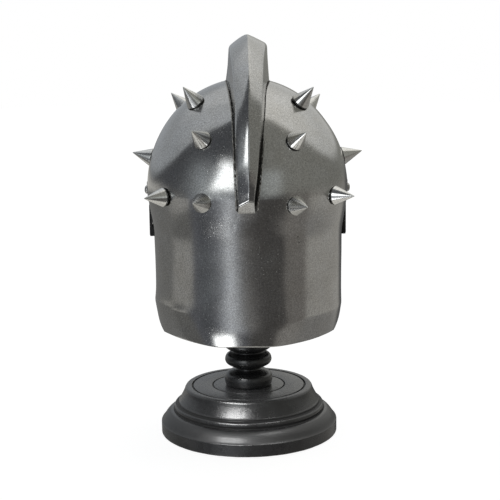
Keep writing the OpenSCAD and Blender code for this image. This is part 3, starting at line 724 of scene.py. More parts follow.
def lacquer(N):
    """Black lacquer over turned wood: fine lathe rings, open grain under the finish, dust-dull patches."""
    c = N.obj()
    x, y, z = N.xyz(c)
    r = N.m("SQRT", N.m("ADD", N.m("MULTIPLY", x, x), N.m("MULTIPLY", y, y)))
    w = N.m("ADD", N.m("MULTIPLY", r, 1700.0), N.m("MULTIPLY", z, 2600.0))
    rings = N.noise(w, 1.0, 3.0, 0.6, dims="1D")
    grain = N.noise(N.scale(c, (260.0, 28.0, 160.0)), 1.0, 4.0, 0.65, 0.3)
    dust = N.noise(c, 70.0, 4.0, 0.6)
    speck = N.noise(c, 880.0, 2.0, 0.6)
    colour = N.mix(N.lin(dust, 0.35, 0.7), (0.0115, 0.0115, 0.0118), (0.0200, 0.0200, 0.0205))
    colour = N.mix(N.m("MULTIPLY", N.step(grain, 0.56, 0.72), 0.5), colour, (0.008, 0.0075, 0.007))
    rough = N.m("ADD", N.lin(dust, 0.3, 0.7, 0.21, 0.29), N.m("MULTIPLY", rings, 0.03))
    h = N.m("ADD", N.m("MULTIPLY", rings, 0.5), N.m("MULTIPLY", speck, 2.3))
    b = N.bump(h, 0.00006)
    b = N.bump(N.m("SUBTRACT", 1.0, N.step(grain, 0.55, 0.75)), 0.000025, 1.0, b)
    # painted shade: the turned grooves on the top and the two rings beside the bead under the wall are painted near
    # black and made rough, for the shade in them
    cut = N.m("SUBTRACT", 1.0, N.step(z, 0.0497, 0.0506))
    in_a = N.m("MULTIPLY", N.step(r, 0.0595, 0.0597), N.step(r, 0.0619, 0.0617))
    in_b = N.m("MULTIPLY", N.step(r, 0.0378, 0.0380), N.step(r, 0.0396, 0.0394))
    deep = N.m("MULTIPLY", N.m("MAXIMUM", in_a, in_b), N.m("MULTIPLY", cut, N.step(z, 0.0470, 0.0480)))
    step_shade_a = N.m("MULTIPLY", N.step(r, 0.0798, 0.0790), N.m("MULTIPLY", N.step(z, 0.0313, 0.0317), N.step(z, 0.0347, 0.0342)))
    step_shade_b = N.m("MULTIPLY", N.step(r, 0.0822, 0.0816), N.m("MULTIPLY", N.step(z, 0.0246, 0.0251), N.step(z, 0.0281, 0.0276)))
    deep = N.m("MAXIMUM", deep, N.m("MAXIMUM", step_shade_a, step_shade_b))
    # painted light: the flat top is painted lighter, in patches
    lighter_top = N.m("MULTIPLY", N.step(z, 0.0500, 0.0506), N.step(z, 0.0512, 0.0508))
    colour = N.mix(N.m("MULTIPLY", lighter_top, N.lin(dust, 0.2, 0.7, 0.55, 1.0)), colour, (0.046, 0.046, 0.047))
    # painted shade in the grooves and rings
    colour = N.mix(deep, colour, (0.002, 0.002, 0.002))
    rough = N.m("ADD", rough, N.m("MULTIPLY", deep, 0.65))
    # painted shade: the lip's shoulder is painted darker and made rougher, so that it holds no highlight
    lip_shade = N.m("MULTIPLY", N.m("MULTIPLY", N.step(r, 0.0825, 0.0840), N.step(z, 0.0134, 0.0142)), N.step(z, 0.0250, 0.0240))
    rough = N.m("ADD", rough, N.m("MULTIPLY", lip_shade, 0.24))
    colour = N.mix(N.m("MULTIPLY", lip_shade, 0.5), colour, (0.004, 0.004, 0.004))
    return {"Base Color": colour, "Roughness": rough, "Normal": b}


black_wood = material("black_wood_lacquered", lacquer, Specular_IOR_Level=0.6, Coat_Weight=0.35, Coat_Roughness=0.24)


def hide(N, tone=(0.105, 0.052, 0.026), deep=(0.045, 0.022, 0.012)):
    c = N.obj()
    cells = N.voronoi(c, 620.0, "DISTANCE_TO_EDGE")
    cells2 = N.voronoi(c, 1150.0, "DISTANCE_TO_EDGE")
    w = N.noise(c, 38.0, 4.0, 0.6, 0.3)
    pore = N.step(N.noise(c, 1500.0, 2.0, 0.6), 0.56, 0.68)
    colour = N.mix(N.lin(w, 0.35, 0.68), tone, deep)
    colour = N.mix(N.m("MULTIPLY", N.step(cells, 0.09, 0.0), 0.5), colour, (0.02, 0.01, 0.006))
    crease = N.m("ADD", N.step(cells, 0.0, 0.22), N.m("MULTIPLY", N.step(cells2, 0.0, 0.2), 0.5))
    b = N.bump(N.m("SUBTRACT", crease, N.m("MULTIPLY", pore, 0.4)), 0.00018)
    b = N.bump(w, 0.0012, 1.0, b)
    return {"Base Color": colour, "Roughness": N.lin(w, 0.3, 0.7, 0.42, 0.6), "Normal": b}


leather = material("leather_brown", hide, Specular_IOR_Level=0.45)


def thread(N):
    c = N.obj()
    g = N.noise(c, 1600.0, 3.0, 0.6)
    return {"Base Color": N.mix(N.lin(g, 0.3, 0.7), (0.52, 0.42, 0.28), (0.30, 0.23, 0.14)),
            "Roughness": N.lin(g, 0.3, 0.7, 0.7, 0.9), "Normal": N.bump(g, 0.00015)}


waxed_thread = material("waxed_thread", thread)


def wool(N, a=(0.030, 0.030, 0.032), b=(0.055, 0.054, 0.056)):
    c = N.obj()
    f1 = N.noise(N.scale(c, (1500.0, 300.0, 900.0)), 1.0, 3.0, 0.65, 1.2)
    f2 = N.noise(N.scale(c, (350.0, 1600.0, 900.0)), 1.0, 3.0, 0.65, 1.2)
    big = N.noise(c, 60.0, 3.0, 0.6)
    mixn = N.m("MAXIMUM", f1, f2)
    colour = N.mix(N.lin(mixn, 0.4, 0.72), a, b)
    colour = N.mix(N.lin(big, 0.35, 0.7), colour, (0.04, 0.039, 0.041))
    return {"Base Color": colour, "Roughness": N.lin(f1, 0.3, 0.7, 0.88, 0.98), "Normal": N.bump(mixn, 0.0005)}


felt = material("felt_charcoal", wool, Sheen_Weight=0.35, Sheen_Roughness=0.5)

# ------------------------------------------------------------------ skull: bowl and neck guard, one sheet
M_G = 150      # columns across half of the neck guard's width
M_F = 84       # columns across half of the front


def columns(z, r, y_edge, full=True):
    """Angles from the rear of the columns on one side, for one height: first the guard's, then the front's."""
    s, x, y = arc_table(r)
    se = np.interp(-y_edge, -y, s)
    sg = np.linspace(0, se, M_G + 1)
    sf = np.linspace(se, s[-1], M_F + 1)[1:]
    return np.interp(sg, s, _th), np.interp(sf, s, _th)


rows = list(np.arange(0, 24, 2.0)) + list(np.arange(24, 46, 1.0)) + list(np.arange(46, 133, 2.2)) + [133.0]
guard_z = [RIM_Z + v for v in rows]
dome_z = [252, 254.2, 256.4, 258.6, 260.8, 263]
dome_z += [BASE_Z + DOME_H * math.sin(rad(t)) for t in np.arange(0, 89.6, 1.15)]


def rim_lift(theta):
    """The lower rim isn't quite level: it was trimmed by eye."""
    a = np.degrees(theta)
    bump = lambda c, w: np.exp(-((a - c) / w) ** 2)
    return 2.3 * bump(58, 17) - 1.2 * bump(21, 11) + 1.3 * bump(-60, 18) - 0.9 * bump(-17, 12)


nu = 2 * (M_G + M_F)
P = []
for k, z in enumerate(guard_z + dome_z):
    base = float(np.interp(z, _z, PROFILE_CAD)) if z < BASE_Z else float(_dome_r(np.array(z)))
    ye = EDGE_Y + max(0.0, (CREASE_Z - z) / (CREASE_Z - RIM_Z + 1) * 33)
    tg, tf = columns(z, max(base, 0.8), ye)
    # once round, from the front middle over the left side, the rear and the right side
    th = -np.concatenate([-tf[::-1], -tg[::-1][:-1], tg, tf[:-1]])
    if z < BASE_Z:
        r = guard_r(th, np.full(len(th), z))
        front = smooth01(np.abs(np.degrees(th)), 88, 96)
        r = r * (1 - front) + base * front
    else:
        r = np.full(len(th), base)
    x, y = plan(th, r)
    zz = z + rim_lift(th) * np.clip((168 - z) / 51, 0, 1)
    P.append(np.stack([x, y, zz + 0 * x], 1))
P = np.array(P)
mask = np.ones((len(P) - 1, nu), bool)
g0, g1 = M_F, M_F + 2 * M_G          # first and last guard column
for i, z in enumerate(guard_z[:-1]):
    mask[i, :g0] = False
    mask[i, g1:] = False
Nn = grid_normals(P, closed=True)
flat = P.reshape(-1, 3)
fade = np.repeat(np.clip(np.array([1.0] * len(P)), 0, 1), nu)
edge_fade = np.ones(len(flat))
zz = flat[:, 2]
edge_fade *= 1 - 0.6 * smooth01(zz, 350, 378)
d = uneven(flat) * edge_fade
# two long shallow valleys that the hammer left beside the middle of the guard
ang = np.degrees(np.arctan2(flat[:, 0], flat[:, 1] - YR))
rear = smooth01(flat[:, 1], 5, 40)
d += rear * 0.24 * np.exp(-((ang - 13 - 6.5 * (1 - smooth01(zz, 148, 190))) / 9) ** 2) * (1 - smooth01(zz, 225, 262))
d -= rear * 0.18 * np.exp(-((ang + 4) / 10) ** 2) * (1 - smooth01(zz, 215, 262))
# a low swelling under the crest's foot, where the two sheets were hammered together
d += rear * 0.45 * np.exp(-((flat[:, 0] + 12) / 12) ** 2 - ((zz - 248) / 9) ** 2)
# the last part of the rim curls in
d -= rear * 1.05 * (np.clip(142 - zz, 0, 25) / 25) ** 2
# three small dents on the guard, below the crest
for bx, bz, bw, bd in ((14, 240, 2.2, 0.16), (19, 247, 1.8, 0.14), (10, 251, 1.6, 0.12), (-50, 205, 3, 0.12), (-52, 199, 2.4, 0.1)):
    d -= rear * bd * np.exp(-(((flat[:, 0] - bx) / bw) ** 2 + ((zz - bz) / (bw * 1.3)) ** 2))
flat = flat + Nn.reshape(-1, 3) * d[:, None]
flat[:, 0] += SIT
P = flat.reshape(P.shape)
Nn = grid_normals(P, closed=True)
faces = grid_faces(len(P), nu, True, mask)
co, faces, kind = thicken(flat, Nn.reshape(-1, 3), faces, SHEET, 4)
piece("skull_sheet", co, faces, "helmet", [steel, steel_inside], ["skull_shell"], 40, True, kind)

# ------------------------------------------------------------------ crest
CREST_T = 1.2
LEAN = ([-5, 4, 14, 30, 60, 120, 150, 168], [56, 30, 12, 3, 0, 0, -6, -30])
HALF_W = ([-5, 0, 10, 24, 39, 48, 64, 80, 95, 110, 130, 150, 168],
          [8, 8.8, 10.7, 12.8, 15.3, 16.8, 18.9, 21, 22.4, 22.9, 21.5, 17, 11])
RISE = ([-5, 4, 20, 40, 60, 80, 95, 110, 130, 150, 168],
        [.33, .34, .46, .66, .84, .96, 1.01, 1.02, .94, .72, .42])
SHOULDER_L = ([-5, 0, 30, 64, 85, 110, 130, 168], [0.7, 0.7, 1.2, 3.2, 4.0, 3.6, 2.4, 0.6])
SHOULDER_R = ([-5, 0, 30, 64, 85, 110, 130, 168], [0.9, 0.9, 1.6, 2.6, 2.6, 2.4, 1.8, 0.6])
# how far the hammering moved its left edge, right edge and ridge to the left
EDGE_L = ([-5, 0, 14, 30, 44, 58, 73, 85, 100, 130, 168], [2.2, 2.1, 1.2, 0, -1.0, 0, 1.2, 1.7, 1.9, 1.2, 0])
EDGE_R = ([-5, 0, 14, 30, 44, 58, 66, 73, 85, 110, 168], [1.0, 1.0, 0.3, 0, 0.3, 1.2, 1.2, 0.8, 0.4, 0.5, 0])
EDGE_M = ([-5, 8, 50, 66, 80, 100, 112, 135, 168], [-0.3, -1.2, -1.2, -0.6, 0.3, 1.4, 1.4, 0.8, 0])
ROOF_BOW = ([-5, 4, 14, 46, 60, 90, 168], [1.0, 1.05, 1.8, 1.75, 1.35, 1.3, 1.2])
SKEW = ([-5, 20, 50, 90, 168], [-0.8, -1.4, -2.4, -2.9, -2.9])


def soft_lookup(a, table, w=3.0):
    """A table read with its corners smoothed."""
    o = np.linspace(-w, w, 9)
    return float(np.mean(np.interp(a + o, *table)))


def mid_root(a, yc):
    A = (math.cos(a) / DOME_R) ** 2 + (math.sin(a) / DOME_H) ** 2
    B = 2 * (MID - yc) * math.cos(a) / DOME_R ** 2
    C = ((MID - yc) / DOME_R) ** 2 - 1
    return (-B + math.sqrt(B * B - 4 * A * C)) / (2 * A)


def dome_mid(deg):
    a = rad(deg)
    sr, sf = mid_root(a, YR), mid_root(a, YF)
    yr, yf = MID + sr * math.cos(a), MID + sf * math.cos(a)
    if yr > YR:
        return yr, BASE_Z + sr * math.sin(a)
    if yf < YF:
        return yf, BASE_Z + sf * math.sin(a)
    return MID + DOME_H / math.tan(a), BASE_Z + DOME_H


def side_root(p, deg, x):
    f = rad(deg)
    yc = YR if p[0] > YR else YF if p[0] < YF else p[0]
    A = (0 if p[0] == yc else (math.cos(f) / DOME_R) ** 2) + (math.sin(f) / DOME_H) ** 2
    B = 2 * ((p[0] - yc) * math.cos(f) / DOME_R ** 2 + (p[1] - BASE_Z) * math.sin(f) / DOME_H ** 2)
    C = ((p[0] - yc) / DOME_R) ** 2 + ((p[1] - BASE_Z) / DOME_H) ** 2 - 1 + (x / DOME_R) ** 2
    return (-B + math.sqrt(max(0, B * B - 4 * A * C))) / (2 * A)


def crest_section(a):
    """One station: direction, foot point, middle, then half widths, shoulder and ridge positions on the two sides."""
    f = a + soft_lookup(a, LEAN)
    p = dome_mid(a)
    w, h, k0 = soft_lookup(a, HALF_W), 45 * soft_lookup(a, RISE), soft_lookup(a, SKEW)
    wl, wr = w + soft_lookup(a, EDGE_L), w - soft_lookup(a, EDGE_R)
    sl, sr = wl - soft_lookup(a, SHOULDER_L), wr - soft_lookup(a, SHOULDER_R)
    roof = (w - 2) * 0.62
    foot = float(smooth01(-a, -16, 5))           # 1 at the rear foot
    high = float(smooth01(a, 60, 90) * (1 - smooth01(a, 120, 150)))
    # the foot was hammered shut askew: lower on the wearer's left, higher on the right
    hl = h - roof - foot * 2.6
    hr = h - roof + foot * 4.0 + 2.6 * high
    hm = h + foot * 1.6
    return f, p, k0, wl, wr, sl, sr, hl, hr, hm, soft_lookup(a, EDGE_M)


def crest_point(a, x, h, k0, p, f):
    return np.array([SIT + k0 + x, p[0] + h * math.cos(rad(f)), p[1] + h * math.sin(rad(f))])


def crest_ring(a, sink=2.4):
    f, p, k0, wl, wr, sl, sr, hl, hr, hm, xm = crest_section(a)
    t = CREST_T
    bl = side_root(p, f, k0 + wl) - sink
    br = side_root(p, f, k0 - wr) - sink
    bow = soft_lookup(a, ROOF_BOW)
    ridge = float(np.interp(a, [0, 40, 80, 95, 110, 130], [1.6, 2.4, 4.0, 7.0, 6.0, 3.0]))
    soft = float(np.interp(a, [0, 20, 60, 90], [1.4, 2.6, 3.2, 4.0]))
    hard = float(np.interp(a, [0, 60, 80, 100], [1.4, 1.8, 4.0, 4.5]))
    # +x is the wearer's left
    outer = [(wl, bl, 0), (sl + (wl - sl) * 0.35, bl + (hl - bl) * 0.5, 6.0), (sl, hl, soft)]
    for q in (0.25, 0.5, 0.75):
        outer.append((sl + (xm - sl) * q, hl + (hm - hl) * (1 - (1 - q) ** bow), 3.0))
    outer.append((xm, hm, ridge))
    for q in (0.34, 0.67):
        outer.append((xm + (-sr - xm) * q, hm + (hr - hm) * q ** 1.08, 3.0))
    outer += [(-sr, hr, hard), (-sr - (wr - sr) * 0.35, br + (hr - br) * 0.5, 6.0), (-wr, br, 0)]
    o = rounded(outer, 1.0, 7)
    i = [(-wr + t, br), (-sr + t, hr - 0.6 * t), (xm, hm - 1.4 * t), (sl - t, hl - 0.6 * t), (wl - t, bl)]
    ring = [crest_point(a, q[0], q[1], k0, p, f) for q in o]
    n_out = len(ring)
    for q0, q1 in zip(i, i[1:]):
        for s in range(6):
            q = (q0[0] + (q1[0] - q0[0]) * s / 6, q0[1] + (q1[1] - q0[1]) * s / 6)
            ring.append(crest_point(a, q[0], q[1], k0, p, f))
    ring.append(crest_point(a, i[-1][0], i[-1][1], k0, p, f))
    return ring, n_out


stations = list(np.linspace(-5, 12, 26)) + list(np.linspace(12, 168, 150))[1:]
co = []
for a in stations:
    ring, n_out = crest_ring(a)
    co += ring
n = len(ring)
co = np.array(co)
# slight waviness of the hammered comb
wav = uneven(co * 1.7 + 40, 0.55)
side = np.sign(co[:, 0] - (SIT - 2))
co[:, 0] += wav * side
co[:, 2] += uneven(co * 1.3 - 70, 0.5)
faces = []
for i in range(len(stations) - 1):
    for j in range(n):
        k = (j + 1) % n
        faces.append((i * n + j, i * n + k, (i + 1) * n + k, (i + 1) * n + j))


m = len(stations) - 1
faces.append(tuple(reversed(range(n))))
faces.append(tuple(m * n + j for j in range(n)))
piece("crest_comb", co, faces, "helmet", steel_crest, ["crest"], 60)


# a closing plate at the foot and one at the brow, each a shallow dish with rounded edges
def crest_plate(a, name, out):
    ring, n_out = crest_ring(a, 0.9)
    o = np.array(ring[:n_out])
    c = o.mean(0)
    f = rad(a + soft_lookup(a, LEAN))
    nrm = np.array([0, math.sin(f), -math.cos(f)]) * out
    rings = [o - nrm * 0.9, o + nrm * 0.25, c + (o - c) * 0.965 + nrm * 0.8, c + (o - c) * 0.9 + nrm * 1.05]
    for s in (0.7, 0.45, 0.2):
        rings.append(c + (o - c) * s + nrm * (1.05 + 0.25 * (0.9 - s)))
    co, faces = [], []
    k = len(o)
    for r in rings:
        co += list(r)
    for i in range(len(rings) - 1):
        for j in range(k):
            l = (j + 1) % k
            faces.append((i * k + j, i * k + l, (i + 1) * k + l, (i + 1) * k + j))
    faces.append(tuple((len(rings) - 1) * k + j for j in range(k)))
    faces.append(tuple(reversed(range(k))))
    return piece(name, co, faces, "helmet", steel_crest, angle=50)


crest_plate(-5, "crest_foot_plate", 1)
crest_plate(168, "crest_brow_plate", -1)


def seam_path(side, aa, off, lift=0.0):
    out = []
    for a in aa:
        f, p, k0, wl, wr = crest_section(a)[:5]
        x = k0 + side * ((wl if side > 0 else wr) + off)
        h = side_root(p, f, x) + lift
        out.append(crest_point(a, x - k0, h, k0, p, f))
    return np.array(out)


def hump(a, c, w):
    return np.exp(-((a - c) / w) ** 2)


# painted shade: dark tubes along both feet of the crest, partly the weld line and partly the shade in the gap under the
# crest's walls; on the right they swell near the foot, where that gap is widest
heap = Heap()
aa = np.linspace(-4.5, 166, 420)
for side in (1, -1):
    if side > 0:
        rr = 0.34 + 0.06 * hump(aa, 12, 12) + 0.08 * hump(aa, 75, 14)
    else:
        rr = 0.30 + 1.0 * smooth01(aa, -3, 3) * (1 - smooth01(aa, 24, 36)) + 0.55 * hump(aa, 78, 9)
    rr = rr * (1 + 0.22 * np.sin(aa * 1.9) * np.sin(aa * 0.7 + side) + 0.12 * rng.standard_normal(len(aa)))
    c, f = tube(seam_path(side, aa, 0.1 if side > 0 else 0.3, -0.16), np.clip(rr, 0.25, 1.9), 10)
    heap.add(c, f)
piece("crest_seam", heap.points(), heap.faces, "helmet", seam_shade_and_rust, angle=180)
heap = Heap()
for side, a1, r0 in ((1, 96, 0.62), (-1, 30, 0.45)):
    aa = np.linspace(-4, a1, 260)
    rr = r0 * (1 + 0.3 * np.sin(aa * 2.3 + side) * np.sin(aa * 0.9)) * (0.35 + 0.65 * (1 - smooth01(aa, a1 - 25, a1)))
    c, f = tube(seam_path(side, aa, 1.15 if side > 0 else 2.3, -0.2), np.clip(rr, 0.2, 1.2), 10)
    heap.add(c, f)
piece("crest_weld", heap.points(), heap.faces, "helmet", seam_bead, angle=180)

# specks of rust where polish was left in pits: (bearing, height) on the bowl
heap = Heap()
for a, z, r in ((14.5, 356, 0.55), (31, 339, 0.6), (9, 358.5, 0.5), (-8.6, 362, 0.75), (-9.4, 356, 0.6), (-30, 227, 0.45), (-31, 221, 0.4),
                (12.5, 250, 0.5), (-17, 240, 0.4), (22, 300, 0.4), (37, 330, 0.45), (-44, 318, 0.4), (-12, 205, 0.4), (8, 178, 0.4)):
    th = rad(a)
    if z < BASE_Z:
        rr_, tilt = float(guard_r(np.array([th]), np.array([z]))[0]), 0.0
    else:
        u = (z - BASE_Z) / DOME_H
        rr_, tilt = DOME_R * math.sqrt(1 - u * u), math.atan(DOME_R / DOME_H * u / math.sqrt(1 - u * u))
    x, y = plan(th, rr_)
    nrm = np.array([math.cos(tilt) * math.sin(th), math.cos(tilt) * math.cos(th), math.sin(tilt)])
    c, f = lathe([(0, -0.8), (r, -0.8), (r, -0.05), (r * 0.7, 0.16), (0, 0.24)], 14)
    heap.add(c, f, frame_at(np.array([float(x) + SIT, float(y), z]), nrm))
for q0, q1, r in (((14.2, 0, 253), (9.4, 0, 241), 0.34), ((18, 0, 251), (12.5, 0, 240.5), 0.22)):
    pts = []
    for t in np.linspace(0, 1, 14):
        th = rad(q0[0] + (q1[0] - q0[0]) * t ** 0.7)
        z = q0[2] + (q1[2] - q0[2]) * t
        g = float(guard_r(np.array([th]), np.array([z]))[0]) + 0.12
        x, y = plan(th, g)
        pts.append((float(x) + SIT, float(y), z))
    c, f = tube(np.array(pts), np.full(14, r), 8)
    heap.add(c, f)
piece("rust_specks", heap.points(), heap.faces, "helmet", seam_shade_and_rust, angle=60, clean=False)

# ------------------------------------------------------------------ studs
# bearing from the rear, height, extra lean up, and how far the axis is turned on
LOW = [(53.3, 265, 2, 0), (-57, 264, 1, 0), (25, 263, 6.5, -4.5), (-27.3, 259, 3, 0)]
MIDDLE = [(28.6, 322.7, 0, 0), (-31.4, 320.3, 0, 0), (96, 295.4, 0, 0), (-94, 295, 0, 0), (150, 322, 0, 0), (-150, 322, 0, 0)]
TOP = [(54, 356.5, -3, 0), (-58.5, 355.5, -5, 0), (114.5, 347, 0, 0), (-119.5, 344, 0, 0)]


def stud_frame(s):
    a, z, extra, turn = s
    th = rad(a)
    if z < BASE_Z:
        r = float(np.interp(z, _z, PROFILE_CAD))
        el = extra
    else:
        u = (z - BASE_Z) / DOME_H
        r = DOME_R * math.sqrt(1 - u * u)
        el = extra + math.degrees(math.atan(DOME_R / DOME_H * u / math.sqrt(1 - u * u)))
    x, y = plan(th, r)
    e, t2 = rad(el), rad(a + turn)
    nrm = np.array([math.cos(e) * math.sin(t2), math.cos(e) * math.cos(t2), math.sin(e)])
    return frame_at(np.array([float(x) + SIT, float(y), z]) - nrm * 0.05, nrm), nrm


stud_line = [(0.0, 0.0), (8.9, 0.0), (9.3, 0.1, 0.1), (9.55, 0.35, 0.12), (9.55, 0.9, 0.12), (9.35, 1.1, 0.1), (9.0, 1.2, 0.08),
             (9.0, 1.55, 0.08), (9.45, 1.65, 0.08), (9.62, 1.95, 0.12), (0.62, 22.3, 0.25), (0.3, 22.85, 0.1), (0.0, 22.9)]
stud_line = rounded(stud_line, 0.15, 3)


def studs(name, row, node):
    heap = Heap()
    us, vs = [], []
    for k, s in enumerate(row):
        M, nrm = stud_frame(s)
        c, f = lathe(stud_line, 96)
        # each stud a little different in height and in how it is set
        tilt = Matrix.Rotation(rad(rng.uniform(-0.4, 0.4)), 4, "X") @ Matrix.Rotation(rad(rng.uniform(-0.4, 0.4)), 4, "Y")
        T = np.array(tilt)
        c = c * np.array([1, 1, 1 + rng.uniform(-0.008, 0.0)])
        us += list(np.arctan2(c[:, 1], c[:, 0]) / (2 * math.pi))
        vs += list(c[:, 2] * MM)
        heap.add(c @ T[:3, :3].T, f, M)
    co, faces = heap.points(), heap.faces
    ob = piece(name, co, faces, "helmet", turned_steel, [node], 32, clean=False)
    me = ob.data
    layer = me.uv_layers.new(name="turning")
    us, vs = np.array(us), np.array(vs)
    li = np.zeros(len(me.loops), np.int32)
    me.loops.foreach_get("vertex_index", li)
    uv = np.zeros((len(li), 2), np.float32)
    uv[:, 0], uv[:, 1] = us[li], vs[li]
    layer.data.foreach_set("uv", uv.ravel())
    return ob


studs("studs_lower", LOW, "spikes_lower")
studs("studs_middle", MIDDLE, "spikes_middle")
studs("studs_upper", TOP, "spikes_upper")

# ------------------------------------------------------------------ brow plate and front
def dome_point(th, z, off=0.0):
    """Outer surface of the dome or of the doors at a height, raised by off. Works on arrays."""
    r = door_r(z)
    x, y = plan(th, r + off)
    return np.stack([x + SIT, y, z + 0 * x], -1)


def head_r(z):
    z = np.asarray(z, float)
    return np.where(z < BASE_Z, np.interp(z, _z, PROFILE_CAD), _dome_r(z))


def strip_grid(z_list, y_edge, off, radius=head_r, cols=150):
    """A grid of points round the front, between the two places where Y reaches y_edge."""
    P = []
    for z in z_list:
        r = float(radius(z)) + off
        s, x, y = arc_table(r)
        se = np.interp(-y_edge, -y, s)
        half = np.linspace(s[-1], se, cols + 1)
        th = np.interp(half, s, _th)
        xx, yy = plan(th, r)
        left = np.stack([xx + SIT, yy, np.full_like(xx, z)], 1)
        right = left[1:].copy()
        right[:, 0] = 2 * SIT - right[:, 0]
        # from the wearer's left edge across the face to the right edge
        P.append(np.concatenate([left[::-1], right]))
    return np.array(P)


zs = [250.4, 251.5, 253, 255, 257, 259.5, 262, 264.5, 266.5, 268.5, 270.3, 271.9]
P = strip_grid(zs, -7.0, 1.5)
Nn = grid_normals(P)
if Nn[5, 150, 1] > 0:
    Nn = -Nn
f = grid_faces(len(P), P.shape[1])
# the grid runs so that its own normal may point inwards
a, b, c4 = (P.reshape(-1, 3)[i] for i in f[0][:3])
if np.cross(b - a, c4 - b) @ Nn.reshape(-1, 3)[f[0][0]] < 0:
    f = [tuple(reversed(q)) for q in f]
co, f, kind = thicken(P.reshape(-1, 3), Nn.reshape(-1, 3), f, 1.35, 4)
piece("brow_band", co, f, "helmet", steel_crest, ["brow_plate"], 40)


def dome_head(r, h, lip=0.25, tail=1.2):
    """Outline of a domed rivet head."""
    pts = [(0, -tail), (r * 0.45, -tail), (r * 0.45, -0.05), (r, -0.05), (r, lip)]
    for k in range(1, 9):
        t = k / 8 * math.pi / 2
        pts.append((r * math.cos(t) ** 0.9 if k < 8 else 0.0, lip + (h - lip) * math.sin(t)))
    return pts


def rivets(name, spots, r, h, body, node, mat=rivet_steel, tail=1.2):
    heap = Heap()
    for point, nrm in spots:
        c, f = lathe(dome_head(r, h, tail=tail), 32)
        heap.add(c, f, frame_at(point, nrm))
    return piece(name, heap.points(), heap.faces, body, mat, [node] if node else (), 40, clean=False)


def front_spot(phi, z, off, radius=head_r):
    """A point on the front at plan angle phi from the face's middle (+ is the wearer's left)."""
    th = math.pi - abs(phi)
    r = float(radius(z))
    x, y = plan(th, r + off)
    sx = 1 if phi >= 0 else -1
    tilt = math.atan((float(radius(z + 2)) - float(radius(z - 2))) / 4) if radius is not head_r else 0.0
    nrm = np.array([sx * math.sin(th) * math.cos(tilt), math.cos(th) * math.cos(tilt), -math.sin(tilt)])
    return np.array([SIT + sx * float(x), float(y), z]), nrm


rivets("brow_studs", [front_spot(rad(a), 261, 2.0) for a in (-78, -52, -26, 0, 26, 52, 78)], 4.0, 2.2, "helmet", "brow_rivets", tail=5.5)
temple = []
for side in (1, -1):
    temple.append((np.array([SIT + side * (DOME_R + 0.05), 5.4, 265.0]), np.array([side, 0, 0])))
rivets("temple_studs", temple, 4.5, 2.7, "helmet", "temple_rivets", fixing_steel, tail=2.6)

# ------------------------------------------------------------------ doors
GAP, DOOR_TOP, DOOR_Y = 0.4, 248.8, -4.2
_s99, _x99, _y99 = arc_table(98.9)
_front_s = _s99[-1] - _s99             # distance from the face's middle


def door_theta(s):
    """Plan angle of the point s millimetres from the face's middle."""
    return np.interp(-np.asarray(s, float), -_front_s, _th)


def door_s_of_x(x, z):
    r = float(door_r(z))
    th = _th[_th > math.pi / 2 + 0.06]
    xx, _ = plan(th, r)
    return float(np.interp(math.pi - np.interp(x, xx[::-1], th[::-1]) * 1.0, math.pi - _th[::-1], _front_s[::-1]))


def door_map(uv, side, off=0.0):
    s, z = uv[:, 0], uv[:, 1]
    th = door_theta(s)
    r = door_r(z)
    x, y = plan(th, r + off)
    dr = (door_r(z + 0.6) - door_r(z - 0.6)) / 1.2
    n = np.stack([np.sin(th), np.cos(th), -dr], 1)
    n /= np.linalg.norm(n, axis=1, keepdims=True)
    p = np.stack([x, y, z], 1)
    if off == 0.0:
        p += n * (uneven(p + (side * 300, 0, 0), 0.8))[:, None]
    p[:, 0] *= side
    n[:, 0] *= side
    p[:, 0] += SIT
    return p, n


S_HINGE = float(np.interp(-DOOR_Y, -_y99, _front_s))


def door_low(y):
    return float(np.interp(-y, [4.2, 60, 100, 130], [129, 118, 103, 99]))


def circle_on_door(cx, cz, r, n):
    out = []
    for k in range(n):
        t = 2 * math.pi * k / n
        z = cz + r * math.sin(t)
        out.append((door_s_of_x(cx + r * math.cos(t), z), z))
    return np.array(out)


BREATH = [(24, 134), (34, 134), (44, 134), (54, 134), (29, 146), (39, 146), (49, 146), (59, 146),
          (24, 158), (34, 158), (44, 158), (54, 158)]
EYE_X, EYE_Z, EYE_R = 34.0, 215.0, 20.0


def sheet_piece(name, outer, holes, step, side, off, t, body, mats, replaces, seg=4, kinds=True):
    uv, tri = flat_mesh(outer, holes, step)
    p, n = door_map(uv, side, off)
    # orientation: the face must turn with the normal
    a, b, c = (p[i] for i in tri[0])
    if np.cross(b - a, c - a) @ n[tri[0][0]] < 0:
        tri = [tuple(reversed(q)) for q in tri]
    co, f, kind = thicken(p, n, tri, t, seg, inset=False)
    return piece(name, co, f, body, mats, replaces, 42, True, kind if kinds else None)


def door(side, name, body, node):
    bottom = []
    for s in np.linspace(GAP + 0.65, S_HINGE - 0.65, 70):
        y = float(np.interp(s, _front_s[::-1], _y99[::-1]))
        bottom.append((s, door_low(y) + 0.65))
    outer = bottom + [(S_HINGE - 0.65, DOOR_TOP - 0.65), (GAP + 0.65, DOOR_TOP - 0.65)]
    holes = [circle_on_door(EYE_X, EYE_Z, EYE_R + 0.6, 72)]
    holes += [circle_on_door(x, z, 2.1 + 0.55, 20) for x, z in BREATH]
    return sheet_piece(name, outer, holes, 2.6, side, 0.0, SHEET, body, [steel, steel_inside], [node])


def grille(side, name, body, node):
    outer = circle_on_door(EYE_X, EYE_Z, EYE_R + 6.5, 84)
    holes = []
    for i in range(-2, 3):
        for j in range(-2, 3):
            x, z = i * 7.4 + (abs(j) % 2) * 3.7, j * 6.4
            if x * x + z * z < 15.5 ** 2:
                holes.append(circle_on_door(EYE_X + x, EYE_Z + z, 2.5 + 0.3, 20))
    return sheet_piece(name, outer, holes, 1.7, side, -(SHEET + 0.15), 1.0, body, [steel_inside, steel_inside], [node], 3)


